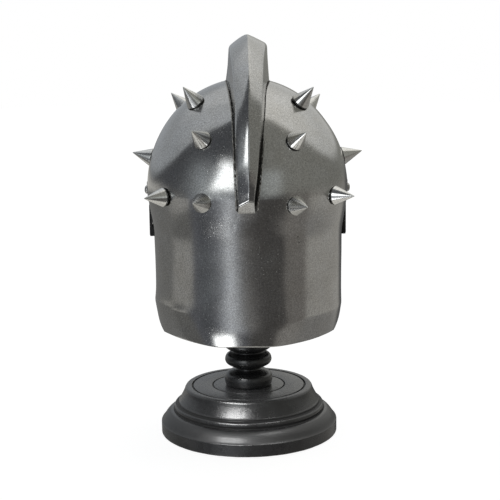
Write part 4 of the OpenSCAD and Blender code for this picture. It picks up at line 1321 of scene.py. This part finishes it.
def rib(side, name, body, node):
    outer = [(GAP + 0.5, 102.5)] + [(GAP + 0.5 + 7.6 * k / 6, 102.5) for k in range(1, 7)]
    outer += [(8.5, 246.8), (8.0, 247.6), (GAP + 0.5, 247.6)]
    uv, tri = flat_mesh(outer, [], 1.6)
    p, n = door_map(uv, side, 1.62)
    across = (uv[:, 0] - 0.4) / 8.4
    p += n * (0.35 * np.sin(np.clip(across, 0, 1) * math.pi) - 0.2)[:, None]
    a, b, c = (p[i] for i in tri[0])
    if np.cross(b - a, c - a) @ n[tri[0][0]] < 0:
        tri = [tuple(reversed(q)) for q in tri]
    co, f, kind = thicken(p, n, tri, 1.35, 4, inset=False)
    return piece(name, co, f, body, steel_crest, [node], 42)


def eye_spots(side, off):
    out = []
    for t in (45, 135, 225, 315):
        x, z = EYE_X + 23.6 * math.cos(rad(t)), EYE_Z + 23.6 * math.sin(rad(t))
        phi = math.asin(x / 99.8)
        out.append(front_spot(side * phi, z, off, door_r))
    return out


def rib_spots(side, off):
    return [front_spot(side * math.asin(4.6 / 99.8), z, off, door_r) for z in (112, 142, 184, 206, 238)]


for side, tag, body in ((1, "left", "visor_left"), (-1, "right", "visor_right")):
    door(side, "door_" + tag, body, "visor_plate_" + tag)
    grille(side, "grille_" + tag, body, "eye_grille_" + tag)
    rib(side, "edge_rib_" + tag, body, "rib_" + tag)
    rivets("grille_studs_" + tag, eye_spots(side, 0.2), 2.6, 1.3, body, "grille_rivets_" + tag, tail=3.0)
    rivets("rib_studs_" + tag, rib_spots(side, 1.7), 2.5, 1.1, body, "rib_rivets_" + tag, tail=3.2)

# ------------------------------------------------------------------ catch
CATCH_X, CATCH_Z, FACE_Y = -14.0, 165.0, YF - 98.9


def flat_bar(outline, t, seg=5, bevel=0.55):
    """A flat bar of an outline in its own plane, with bevelled edges, from height 0 to t."""
    o = np.asarray(outline, float)
    c = o.mean(0)
    nxt, prv = np.roll(o, -1, 0), np.roll(o, 1, 0)
    T = nxt - prv
    T /= np.linalg.norm(T, axis=1, keepdims=True)
    N2 = np.stack([T[:, 1], -T[:, 0]], 1)
    if ((o - c) * N2).sum() < 0:
        N2 = -N2
    rings = []
    for k in range(seg + 1):
        f = math.pi / 2 * k / seg
        rings.append((o - N2 * bevel * (1 - math.sin(f)), bevel * (1 - math.cos(f))))
    for k in range(seg + 1):
        f = math.pi / 2 * k / seg
        rings.append((o - N2 * bevel * (1 - math.cos(f)), t - bevel * (1 - math.sin(f))))
    co, faces, n = [], [], len(o)
    for q, z in rings:
        co += [(x, y, z) for x, y in q]
    for i in range(len(rings) - 1):
        for j in range(n):
            k = (j + 1) % n
            faces.append((i * n + j, i * n + k, (i + 1) * n + k, (i + 1) * n + j))
    faces.append(tuple(reversed(range(n))))
    faces.append(tuple((len(rings) - 1) * n + j for j in range(n)))
    return np.array(co), faces


def arc(cx, cy, r, a0, a1, n):
    return [(cx + r * math.cos(rad(a0 + (a1 - a0) * k / n)), cy + r * math.sin(rad(a0 + (a1 - a0) * k / n))) for k in range(n + 1)]


# the turn button: a waisted bar with a thumb end, drawn upright in its plane (x across, y up)
outline = arc(0, 29, 3.6, 0, 180, 14) + arc(0, 0, 5.2, 136, 224, 10) + arc(0, -12, 4.6, 150, 390, 22) + arc(0, 0, 5.2, -44, 44, 10)
c, f = flat_bar(outline, 2.3)
M = np.eye(4)
M[:3, 0], M[:3, 1], M[:3, 2] = (1, 0, 0), (0, 0, 1), (0, -1, 0)
M[:3, 3] = (SIT + CATCH_X, FACE_Y - 3.4, CATCH_Z)
piece("catch_lever", c @ M[:3, :3].T + M[:3, 3], f, "catch", fixing_steel, ["catch_button"], 35)

heap = Heap()
M2 = M.copy()
M2[:3, 3] = (SIT + CATCH_X, FACE_Y, CATCH_Z)
c, f = lathe(rounded([(0, -0.9), (4.4, -0.9), (4.4, 3.2), (2.0, 3.2), (2.0, 5.95), (4.0, 5.95), (3.9, 6.5), (3.2, 7.2), (2.0, 7.65), (0, 7.8)], 0.35), 40)
heap.add(c, f, M2)
c, f = lathe(rounded([(0, -4.2), (3.2, -4.2), (3.2, -3.3), (1.9, -3.2), (1.9, 0), (0, 0)], 0.3), 32)
heap.add(c, f, M2)
piece("catch_post", heap.points(), heap.faces, "visor_right", fixing_steel, ["catch_pivot"], 35)

# the keeper: a strip bent into a step, with its foot on the left door
foot = [(-2.2, -0.35), (4.8, -0.35), (4.8, 6.8), (4.1, 7.7), (-7.0, 7.7), (-7.5, 7.3), (-7.5, 6.5), (-7.1, 6.2), (0.9, 6.2), (1.4, 5.7),
        (1.4, 1.6), (1.0, 1.2), (-1.8, 1.2), (-2.2, 0.8)]
sec = np.array(rounded(foot, 0.3, 3, closed=True))
co, faces = [], []
n = len(sec)
zz_list = [(-6.5, 0.35), (-6.35, 0.1), (-6.1, 0.0), (6.1, 0.0), (6.35, 0.1), (6.5, 0.35)]
cen = sec.mean(0)
for zc, inn in zz_list:
    for q in sec:
        v = (cen - q)
        v = v / max(np.linalg.norm(v), 1e-6) * inn * 0.5
        co.append((SIT + 20.5 + q[0] + v[0], FACE_Y - q[1] - v[1], CATCH_Z + zc))
for i in range(len(zz_list) - 1):
    for j in range(n):
        k = (j + 1) % n
        faces.append((i * n + j, i * n + k, (i + 1) * n + k, (i + 1) * n + j))
faces.append(tuple(reversed(range(n))))
faces.append(tuple((len(zz_list) - 1) * n + j for j in range(n)))
co = np.array(co)
# the foot follows the door, which falls away to the side
drop = 98.9 - np.sqrt(np.maximum(98.9 ** 2 - (co[:, 0] - SIT) ** 2, 0))
is_foot = co[:, 1] > FACE_Y - 1.4
co[is_foot, 1] += drop[is_foot] + 0.2
piece("catch_bracket", co, faces, "visor_left", fixing_steel, ["catch_keeper"], 35)

# ------------------------------------------------------------------ lining
def liner_r(z, depth):
    return float(head_r(z)) - depth


zs = list(np.linspace(252, 282, 13))
heap = Heap()
P = []
for z in zs:
    r = liner_r(z, SHEET + 1.5)
    s, x, y = arc_table(r)
    half = np.linspace(0, s[-1], 201)
    th = np.interp(half, s, _th)
    xx, yy = plan(th, r)
    full_x = np.concatenate([xx, -xx[1:-1][::-1]]) + SIT
    full_y = np.concatenate([yy, yy[1:-1][::-1]])
    P.append(np.stack([full_x, full_y, np.full_like(full_x, z)], 1))
P = np.array(P)
Nn = grid_normals(P, True)
if (Nn[6, 0] @ np.array([0, 1, 0])) < 0:
    Nn = -Nn
sag = 0.16 * np.sin(np.linspace(0, 2 * math.pi * 17, P.shape[1]))
P = P - Nn * (0.35 + sag[None, :, None] * np.linspace(0.3, 1, len(zs))[:, None, None])
f = grid_faces(len(P), P.shape[1], True)
pf = P.reshape(-1, 3)
nf = Nn.reshape(-1, 3)
a, b, c4 = (pf[i] for i in f[0][:3])
if np.cross(b - a, c4 - b) @ nf[f[0][0]] < 0:
    f = [tuple(reversed(q)) for q in f]
co, f, kind = thicken(pf, nf, f, 1.7, 6)
piece("lining_band", co, f, "helmet", leather, ["liner_band"], 60)
# two rows of saddle stitch on the inner face
heap = Heap()
ln, lw = 3.2, 0.42
stitch = rounded([(0, -ln / 2), (lw * 0.6, -ln / 2), (lw, -ln / 2 + 0.5), (lw, ln / 2 - 0.5), (lw * 0.6, ln / 2), (0, ln / 2)], 0.25, 2)
sc, sf = lathe(stitch, 6)
for zi in (1, 11):
    ring = P[zi] - Nn[zi] * 1.72
    d = np.linalg.norm(np.roll(ring, -1, 0) - ring, axis=1)
    s = np.concatenate([[0], np.cumsum(d)])
    total = s[-1]
    count = int(total / 4.6)
    closed_ring = np.concatenate([ring, ring[:1]])
    for k in range(count):
        u = (k + 0.5) * total / count
        p0 = np.array([np.interp(u - 1, s, closed_ring[:, i]) for i in range(3)])
        p1 = np.array([np.interp(u + 1, s, closed_ring[:, i]) for i in range(3)])
        heap.add(sc, sf, frame_at((p0 + p1) / 2, p1 - p0))
piece("lining_stitches", heap.points(), heap.faces, "helmet", waxed_thread, angle=80, clean=False)

CAP_R, CAP_H = 99.6, 103.5


def cap_point(th, t, off=0.0):
    r = (CAP_R - off) * math.cos(t)
    x, y = plan(th, r)
    return np.array([float(x) + SIT, float(y), BASE_Z + (CAP_H - off) * math.sin(t)])


ts = [rad(t) for t in (9, 10.5, 13, 16, 19, 22)] + [rad(t) for t in np.linspace(25, 73.4, 30)]
slit_z = BASE_Z + CAP_H * math.sin(rad(22))
heap_co, heap_f, heap_n = [], [], []
NT = 24
for k in range(8):
    c0 = -22.5 + 45 * k - 22.5 + 22.5
    a0, a1 = c0, c0 + 45
    base = len(heap_co)
    for t in ts:
        z = BASE_Z + CAP_H * math.sin(t)
        r = CAP_R * math.cos(t)
        wgap = 0.0 if z < slit_z + 0.5 else 1.3 + (z - slit_z) * 0.062
        tip = smooth01(math.degrees(t), 63, 73.4)
        wgap += float(tip) ** 2 * 4.5
        da = math.degrees(wgap / max(r, 1))
        for j in range(NT + 1):
            u = j / NT
            a = a0 + da + (a1 - a0 - 2 * da) * u
            th = rad(((a + 180) % 360) - 180)
            bulge = 0.9 * math.sin(u * math.pi) * float(smooth01(math.degrees(t), 25, 60)) - 0.5 * float(tip)
            heap_co.append(cap_point(th, t, 0.6 - 0.25 * bulge))
            # outward normal of the ellipsoid
            nn = np.array([math.cos(t) * math.sin(th) / CAP_R, math.cos(t) * math.cos(th) / CAP_R, math.sin(t) / CAP_H])
            heap_n.append(nn / np.linalg.norm(nn))
    for i in range(len(ts) - 1):
        for j in range(NT):
            q = base + i * (NT + 1) + j
            heap_f.append((q, q + NT + 1, q + NT + 2, q + 1))
pf, nf = np.array(heap_co), np.array(heap_n)
# merge the tongues where they are one band
key, remap, keep = {}, [], []
for i, p in enumerate(pf):
    kk = tuple(np.round(p, 3))
    if kk not in key:
        key[kk] = len(keep)
        keep.append(i)
    remap.append(key[kk])
pf, nf = pf[keep], nf[keep]
heap_f = [tuple(remap[i] for i in q) for q in heap_f]
a, b, c4 = (pf[i] for i in heap_f[0][:3])
if np.cross(b - a, c4 - b) @ nf[heap_f[0][0]] < 0:
    heap_f = [tuple(reversed(q)) for q in heap_f]
co, f, kind = thicken(pf, nf, heap_f, 1.5, 4)
piece("lining_tongues", co, f, "helmet", leather,
      [k for k in frame["nodes"] if k.startswith("liner_crown")], 60)

# the lace that gathers the tongues: a three-strand cord
t_l = math.acos(33 / CAP_R)
z_l = BASE_Z + (CAP_H + 1.5) * math.sin(t_l)
s, x, y = arc_table(33.5)
half = np.linspace(0, s[-1], 161)
th = np.interp(half, s, _th)
xx, yy = plan(th, 33.5)
lace = np.stack([np.concatenate([xx, -xx[1:-1][::-1]]) + SIT, np.concatenate([yy, yy[1:-1][::-1]]), np.full(320, z_l)], 1)
lace[:, 2] += 0.35 * np.sin(np.linspace(0, 2 * math.pi * 8, 320))
c, f = tube(lace, 1.28, 18, closed=True, shape=lambda i, a: 0.84 + 0.16 * abs(math.cos(1.5 * (a - i * 0.42))))
piece("lining_lace", c, f, "helmet", waxed_thread, ["liner_lace"], 180)

# ------------------------------------------------------------------ stand
FELT = 1.0
R0 = 95.0
base_line = [(0, FELT), (R0 - 0.4, FELT, 0.3), (R0, FELT + 0.5, 0.4), (R0, 13.2, 0.4), (93.4, 14.8, 1), (91.9, 17.1, 2),
             (90.0, 20.0, 3), (87.4, 22.8, 3), (84.4, 24.8, 3), (81.6, 25.4, 1), (80.2, 25.15, 0.3), (80.2, 26.6, 0.4),
             (80.8, 27.6, 2), (80.9, 29.4, 2), (80.2, 30.9, 1.5), (79, 31.9, 0.6), (76.6, 32.1, 0.2), (76.2, 32.9, 0.2),
             (76.5, 33.7, 0.3), (75.1, 35.4, 0.8), (72.9, 39.3, 3), (71.2, 42.6, 3), (69.7, 45.8, 3), (68.8, 48.6, 2),
             (67.8, 50.1, 0.8), (66.7, 50.7, 0.8),
             (61.8, 50.7, 0.25), (61.5, 49.1, 0.2), (59.9, 49.1, 0.2), (59.6, 50.7, 0.25),
             (39.5, 50.7, 0.25), (39.3, 49.2, 0.2), (38.1, 49.2, 0.2), (37.9, 50.7, 0.25), (24, 50.7), (0, 50.7)]
c, f = lathe(rounded(base_line, 0.3, 5), 256)
piece("stand_foot", c, f, "stand", black_wood, ["stand_base"], 50)
post_line = [(0, 50.8), (23.8, 50.8, 0.3), (25, 52.4, 2), (25.7, 55, 3), (25.9, 58.5, 3), (25.4, 61.5, 3), (24, 64, 2), (21, 65.9, 2),
             (17.6, 67, 2), (14.6, 68.2, 0.8), (13.9, 69.4, 0.6), (14.6, 70.7, 0.8), (17.6, 71.9, 2), (21.2, 73.3, 2),
             (24, 75.4, 2), (25.3, 78.4, 3), (24.9, 81.6, 3), (23.6, 84.4, 3), (20.6, 86.4, 2), (17.6, 87.6, 0.5), (17.6, 88.8, 0.5),
             (20, 90, 1.5), (23.4, 91.6, 2), (25.6, 94, 3), (26.4, 97, 4), (25.4, 102, 5), (22.6, 108, 6), (19.4, 118, 9), (17.2, 132, 12),
             (16, 150, 12), (15.4, 175, 12), (15.8, 200, 12), (17.2, 225, 12), (18.8, 248, 10), (19.4, 262, 10),
             (18.4, 276, 8), (16.2, 288, 4), (15.4, 294, 3), (18, 297, 2), (19.6, 300.5, 3), (18.6, 304.5, 3),
             (15.6, 307.5, 2), (15, 313, 4), (16.4, 322, 5), (19.6, 330, 4), (22, 334.9, 0.5), (0, 334.9)]
c, f = lathe(rounded(post_line, 0.3, 5), 128)
piece("stand_column", c, f, "stand", black_wood, ["stand_post"], 50)
PAD_R, PAD_H = 95.2, 97.6


def pad_z(r, o=0.0):
    return BASE_Z + (PAD_H + o) * math.sqrt(1 - (r / (PAD_R + o)) ** 2)


head_line = [(0, 335.0), (22, 335.0, 0.5), (32, 337, 5), (40, 340.6, 5), (44.6, 345, 3), (46, 349, 3), (45.2, pad_z(45.2), 0.8)]
head_line += [(r, pad_z(r), 3) for r in (38, 30, 22, 14, 7)] + [(5.8, pad_z(5.8), 0.3), (5.4, 361.0, 0.3), (2.7, 357.5, 0.2), (0, 357.4)]
c, f = lathe(rounded(head_line, 0.5, 4), 128)
piece("stand_mushroom", c, f, "stand", black_wood, ["stand_head"], 50)

# the felt pad: quilted lightly by its edge stitch, its rim rolled over the head
rr = list(np.linspace(0, 42, 22)) + [43.2, 44.2, 44.8]
top, bot = [], []
for r in rr:
    edge = float(smooth01(r, 37.5, 39.0) * (1 - smooth01(r, 39.4, 41.0)))
    edge = 0.45 * math.exp(-((r - 39.6) / 0.7) ** 2)
    roll = 2.6 * (1 - (1 - math.sqrt(max(0, 1 - (max(0, r - 42.2) / 2.7) ** 2))) * 0.8)
    top.append((r, pad_z(r, 2.6) - (2.6 - roll) - edge - 0.08))
    bot.append((r, pad_z(r) + 0.18))
line = bot + [(45.0, (bot[-1][1] + top[-1][1]) / 2)] + top[::-1]
c, f = lathe(line, 144)
ang = np.arctan2(c[:, 1], c[:, 0])
rad_c = np.hypot(c[:, 0], c[:, 1])
upper = c[:, 2] > np.array([pad_z(min(r, 45)) + 0.9 for r in rad_c])
c[upper, 2] += 0.10 * np.sin(ang[upper] * 7 + rad_c[upper] * 0.2) * np.sin(rad_c[upper] * 0.35) - 0.1
pad = piece("head_cushion", c, f, "stand", felt, ["head_pad"], 60)
heap = Heap()
nst = 56
for k in range(nst):
    a = 2 * math.pi * k / nst
    p = np.array([39.6 * math.cos(a), 39.6 * math.sin(a), pad_z(39.6, 2.6) - 0.5])
    heap.add(sc, sf, frame_at(p, (-math.sin(a), math.cos(a), 0)))
piece("head_cushion_stitches", heap.points(), heap.faces, "stand", waxed_thread, angle=80, clean=False)

# the felt under the foot
line = [(0, 0.02), (92.4, 0.02), (93.1, 0.15), (93.45, 0.45), (93.3, 0.8), (92.6, 0.93), (0, 0.93)]
c, f = lathe(line, 200)
ang = np.arctan2(c[:, 1], c[:, 0])
rad_c = np.hypot(c[:, 0], c[:, 1])
k = np.where(rad_c > 90, 1 + 0.0012 * np.sin(ang * 23) + 0.0009 * np.sin(ang * 57 + 1), 1.0)
c[:, 0] *= k
c[:, 1] *= k
under = piece("foot_felt", c, f, "stand", felt, ["base_felt"], 60)

# ------------------------------------------------------------------ the CAD pieces that stay get their finish
for name, ob in frame["nodes"].items():
    if ob.hide_render:
        continue
    # the hinges take the near-black steel, which is partly painted shade
    if name.startswith("hinge_"):
        mat = hinge_shade_black
    elif name in ("base_bolt", "base_washer", "head_screw", "spike_screws", "spike_washers"):
        mat = fixing_steel
    else:
        mat = fixing_steel
    if not ob.data.materials:
        ob.data.materials.append(mat)
    for sl in ob.material_slots:
        sl.material = mat

# ------------------------------------------------------------------ camera
cam_data = bpy.data.cameras.new("camera")
cam = bpy.data.objects.new("camera", cam_data)
scene.collection.objects.link(cam)
cam_data.lens = 36.0 * 1236.0 / 500.0
cam_data.sensor_width = 36.0
cam_data.clip_start, cam_data.clip_end = 0.05, 50
th, roll = rad(10.11), rad(-0.75)
F = np.array([0, -math.cos(th), -math.sin(th)])
U = np.array([0, -math.sin(th), math.cos(th)])
R = np.array([-1.0, 0, 0])
c_, s_ = math.cos(roll), math.sin(roll)
R2, U2 = c_ * R + s_ * U, -s_ * R + c_ * U
M = Matrix.Identity(4)
for i in range(3):
    M[i][0], M[i][1], M[i][2] = R2[i], U2[i], -F[i]
M[0][3], M[1][3], M[2][3] = -0.003347, 1.29545, 0.42901
cam.matrix_world = M
scene.camera = cam

# ------------------------------------------------------------------ floor and light
fl = bpy.data.meshes.new("floor")
n = 96
co = [(0, 0, 0)] + [(6 * math.cos(2 * math.pi * k / n), 6 * math.sin(2 * math.pi * k / n), 0) for k in range(n)]
fl.from_pydata(co, [], [(0, 1 + k, 1 + (k + 1) % n) for k in range(n)])
floor = bpy.data.objects.new("floor", fl)
scene.collection.objects.link(floor)


def floor_mat():
    m = bpy.data.materials.new("pale_floor")
    m.use_nodes = True
    N = Nodes(m.node_tree)
    out = N.new("ShaderNodeOutputMaterial")
    d = N.new("ShaderNodeBsdfDiffuse")
    d.inputs[0].default_value = (0.30, 0.30, 0.30, 1)
    e = N.new("ShaderNodeEmission")
    e.inputs[0].default_value = (1, 1, 1, 1)
    e.inputs[1].default_value = 0.90
    a = N.new("ShaderNodeAddShader")
    N.t.links.new(d.outputs[0], a.inputs[0])
    N.t.links.new(e.outputs[0], a.inputs[1])
    N.t.links.new(a.outputs[0], out.inputs[0])
    return m


fl.materials.append(floor_mat())
floor.visible_glossy = False
floor.visible_diffuse = False
floor.visible_shadow = False
floor.visible_transmission = False

# a lamp low on the left that reaches the stand only, as the helmet is flagged off from it
lit = bpy.data.collections.new("stand_lit")
for n in ("stand_foot", "stand_column", "stand_mushroom"):
    lit.objects.link(bpy.data.objects[n])
for name, az_, el_, wide, tall, power in (("lamp_left", 28, 42, 0.72, 0.30, 13.0), ("lamp_right", -62, 70, 0.50, 0.40, 4.0)):
    lamp = bpy.data.lights.new(name, "AREA")
    lamp.shape = "ELLIPSE"
    lamp.size, lamp.size_y, lamp.energy = wide, tall, power
    ob = bpy.data.objects.new(name, lamp)
    scene.collection.objects.link(ob)
    out_ = Vector((math.sin(rad(az_)) * math.cos(rad(el_)), math.cos(rad(az_)) * math.cos(rad(el_)), math.sin(rad(el_))))
    ob.location = Vector((0, 0.05, 0.05)) + out_ * 1.15
    ob.rotation_euler = out_.to_track_quat("Z", "Y").to_euler()
    ob.light_linking.receiver_collection = lit

world = bpy.data.worlds.new("studio")
scene.world = world
world.use_nodes = True
N = Nodes(world.node_tree)
out = N.new("ShaderNodeOutputWorld")
d = N.new("ShaderNodeTexCoord").outputs["Generated"]
x, y, z = N.xyz(d)
az = N.m("MULTIPLY", N.m("ARCTAN2", x, y), 180 / math.pi)      # 0 behind the helmet's rear, + to the wearer's left
el = N.m("MULTIPLY", N.m("ARCSINE", z), 180 / math.pi)
aaz = N.m("ABSOLUTE", az)


def box_light(a0, a1, e0, e1, sa, se):
    """A soft-edged window of light between two bearings and two elevations."""
    m1 = N.step(az, a0 - sa, a0 + sa)
    m2 = N.m("SUBTRACT", 1.0, N.step(az, a1 - sa, a1 + sa))
    m3 = N.step(el, e0 - se, e0 + se)
    m4 = N.m("SUBTRACT", 1.0, N.step(el, e1 - se, e1 + se))
    return N.m("MULTIPLY", N.m("MULTIPLY", m1, m2), N.m("MULTIPLY", m3, m4))


def band(v, c, w):
    """A soft hump round c, of half width w."""
    t = N.m("DIVIDE", N.m("SUBTRACT", v, c), w)
    return N.m("POWER", 2.718, N.m("MULTIPLY", N.m("MULTIPLY", t, t), -0.7))


def over(sky, mask, colour):
    return N.mix(mask, sky, colour)


def add_light(sky, mask, colour, power):
    return N.mix(1.0, sky, N.mix(mask, (0, 0, 0), tuple(c * power for c in colour)), "ADD")


# the dark side of the room, behind the camera
sky = N.mix(N.step(az, -34, 10), (0.245, 0.245, 0.225), (0.083, 0.087, 0.095))
# the white tent overhead and behind
edge = N.new("ShaderNodeFloatCurve")
cur = edge.mapping.curves[0]
cur.points[0].location = (0.0, 0.98)
cur.points[1].location = (1.0, 0.0)
for px, py in ((0.25, 0.92), (0.36, 0.70), (0.50, 0.32), (0.69, 0.03)):
    cur.points.new(px, py)
for p in cur.points:
    p.handle_type = "AUTO"
edge.mapping.update()
N.put(edge.inputs["Value"], N.m("DIVIDE", aaz, 180.0))
limit = N.m("MULTIPLY", edge.outputs[0], 90.0)
limit = N.m("ADD", limit, N.m("MULTIPLY", N.m("SUBTRACT", 1.0, N.step(az, -80, -50)), 7.0))
tent = N.step(N.m("SUBTRACT", el, limit), -3.0, 3.5)
tent_colour = N.mix(N.step(az, -60, 60), (0.84, 0.83, 0.79), (0.53, 0.55, 0.57))
tent_colour = N.mix(N.step(el, 15, 62), N.mix(1.0, tent_colour, (0.72, 0.73, 0.74), "MULTIPLY"), tent_colour)
far = N.m("MULTIPLY", N.step(aaz, 116, 140), N.m("MULTIPLY", N.step(el, 28, 42), N.m("SUBTRACT", 1.0, N.step(el, 66, 78))))
tent_colour = N.mix(N.m("MULTIPLY", far, 0.2), tent_colour, (1.05, 1.05, 1.04))       # its far side is lit the most
sky = over(sky, tent, tent_colour)
# the lower half: walls, then the table
low = N.m("SUBTRACT", 1.0, N.step(el, -6.0, 0.0))
near = N.m("SUBTRACT", 1.0, N.step(el, -30.0, -25.0))           # the dark cloth round the stand
left_wall = N.mix(N.step(el, -4.0, -9.0), (0.12, 0.12, 0.118), (0.345, 0.34, 0.325))
left_wall = N.mix(N.step(el, -13.5, -20.0), left_wall, (0.155, 0.155, 0.15))
left_wall = N.mix(near, left_wall, (0.14, 0.14, 0.138))
right_wall = N.mix(N.step(el, -8.0, -11.5), (0.30, 0.29, 0.27), (0.40, 0.39, 0.365))
right_wall = N.mix(N.step(el, -14.0, -24.0), right_wall, (0.265, 0.26, 0.25))
right_wall = N.mix(near, right_wall, (0.235, 0.23, 0.22))
lower = N.mix(N.step(az, -60, 60), right_wall, left_wall)
front = N.mix(N.step(az, -4, 12), (0.078, 0.075, 0.072), (0.125, 0.13, 0.145))
front = N.mix(N.step(az, -42, -50), front, (0.19, 0.18, 0.168))
front = N.mix(N.m("MULTIPLY", N.step(az, -32, -46), near), front, (0.27, 0.26, 0.245))
front = N.mix(N.m("MULTIPLY", band(az, -2, 8), band(el, -19, 8)), front, (0.17, 0.165, 0.16))
front = N.mix(band(az, 54, 9), front, (0.085, 0.09, 0.10))
mask = N.m("MULTIPLY", N.m("SUBTRACT", 1.0, N.step(az, 68, 77)), N.step(az, -79, -70))
lower = N.mix(mask, lower, front)
# beyond the helmet: a bright corner to its left, a dark one to its right, and the white table in front
beyond = N.mix(N.step(el, -5.5, -8.5), (0.55, 0.54, 0.51), (0.20, 0.20, 0.195))
beyond = N.mix(N.step(az, -60, 60), (0.10, 0.10, 0.10), beyond)
beyond = N.mix(N.step(el, -30.0, -36.0), beyond, (0.50, 0.49, 0.465))
lower = N.mix(N.m("MAXIMUM", N.step(az, 96, 112), N.step(az, -142, -156)), lower, beyond)
sky = over(sky, low, lower)
sky = over(sky, N.m("SUBTRACT", 1.0, N.step(el, -58.0, -49.0)), (0.58, 0.57, 0.54))
slant = N.m("ADD", az, N.m("MULTIPLY", N.m("SUBTRACT", el, 10.0), 0.55))
pane = N.m("MULTIPLY", N.step(az, 5, 16), N.m("SUBTRACT", 1.0, N.step(slant, 34, 47)))
pane = N.m("MULTIPLY", pane, N.m("MULTIPLY", N.step(el, -2, 9), N.m("SUBTRACT", 1.0, N.step(el, 26, 36))))
sky = add_light(sky, pane, (0.96, 0.99, 1.0), 2.2)             # the window
sky = add_light(sky, N.m("MULTIPLY", band(az, 38, 24), band(el, -0.5, 6)), (0.9, 0.97, 1.0), 0.28)
sky = add_light(sky, N.m("MULTIPLY", band(az, 50, 16), band(el, 10, 13)), (0.9, 0.97, 1.0), 0.26)
sky = add_light(sky, N.m("MULTIPLY", band(az, 20, 11.5), box_light(-60, 90, -30, -5.5, 5, 4)), (0.92, 0.96, 1.0), 0.48)
sky = add_light(sky, box_light(21, 52, -50, -32.6, 6, 2.8), (0.97, 0.99, 1.0), 3.3)           # the lit table edge
sky = add_light(sky, box_light(16, 46, -50, -28.0, 8, 4.0), (0.97, 0.99, 1.0), 0.12)
sky = add_light(sky, box_light(-38, -16, -3, 20, 7, 6), (0.86, 0.95, 1.0), 0.20)          # a weak light to the other side
bg = N.new("ShaderNodeBackground")
N.put(bg.inputs[0], sky)
white = N.new("ShaderNodeBackground")
white.inputs[0].default_value = (1, 1, 1, 1)
lp = N.new("ShaderNodeLightPath")
mx = N.new("ShaderNodeMixShader")
N.t.links.new(lp.outputs["Is Camera Ray"], mx.inputs[0])
N.t.links.new(bg.outputs[0], mx.inputs[1])
N.t.links.new(white.outputs[0], mx.inputs[2])
N.t.links.new(mx.outputs[0], out.inputs[0])
world.cycles.sampling_method = "MANUAL"
world.cycles.sample_map_resolution = 1024

scene.view_settings.view_transform = "Standard"
scene.view_settings.look = "None"
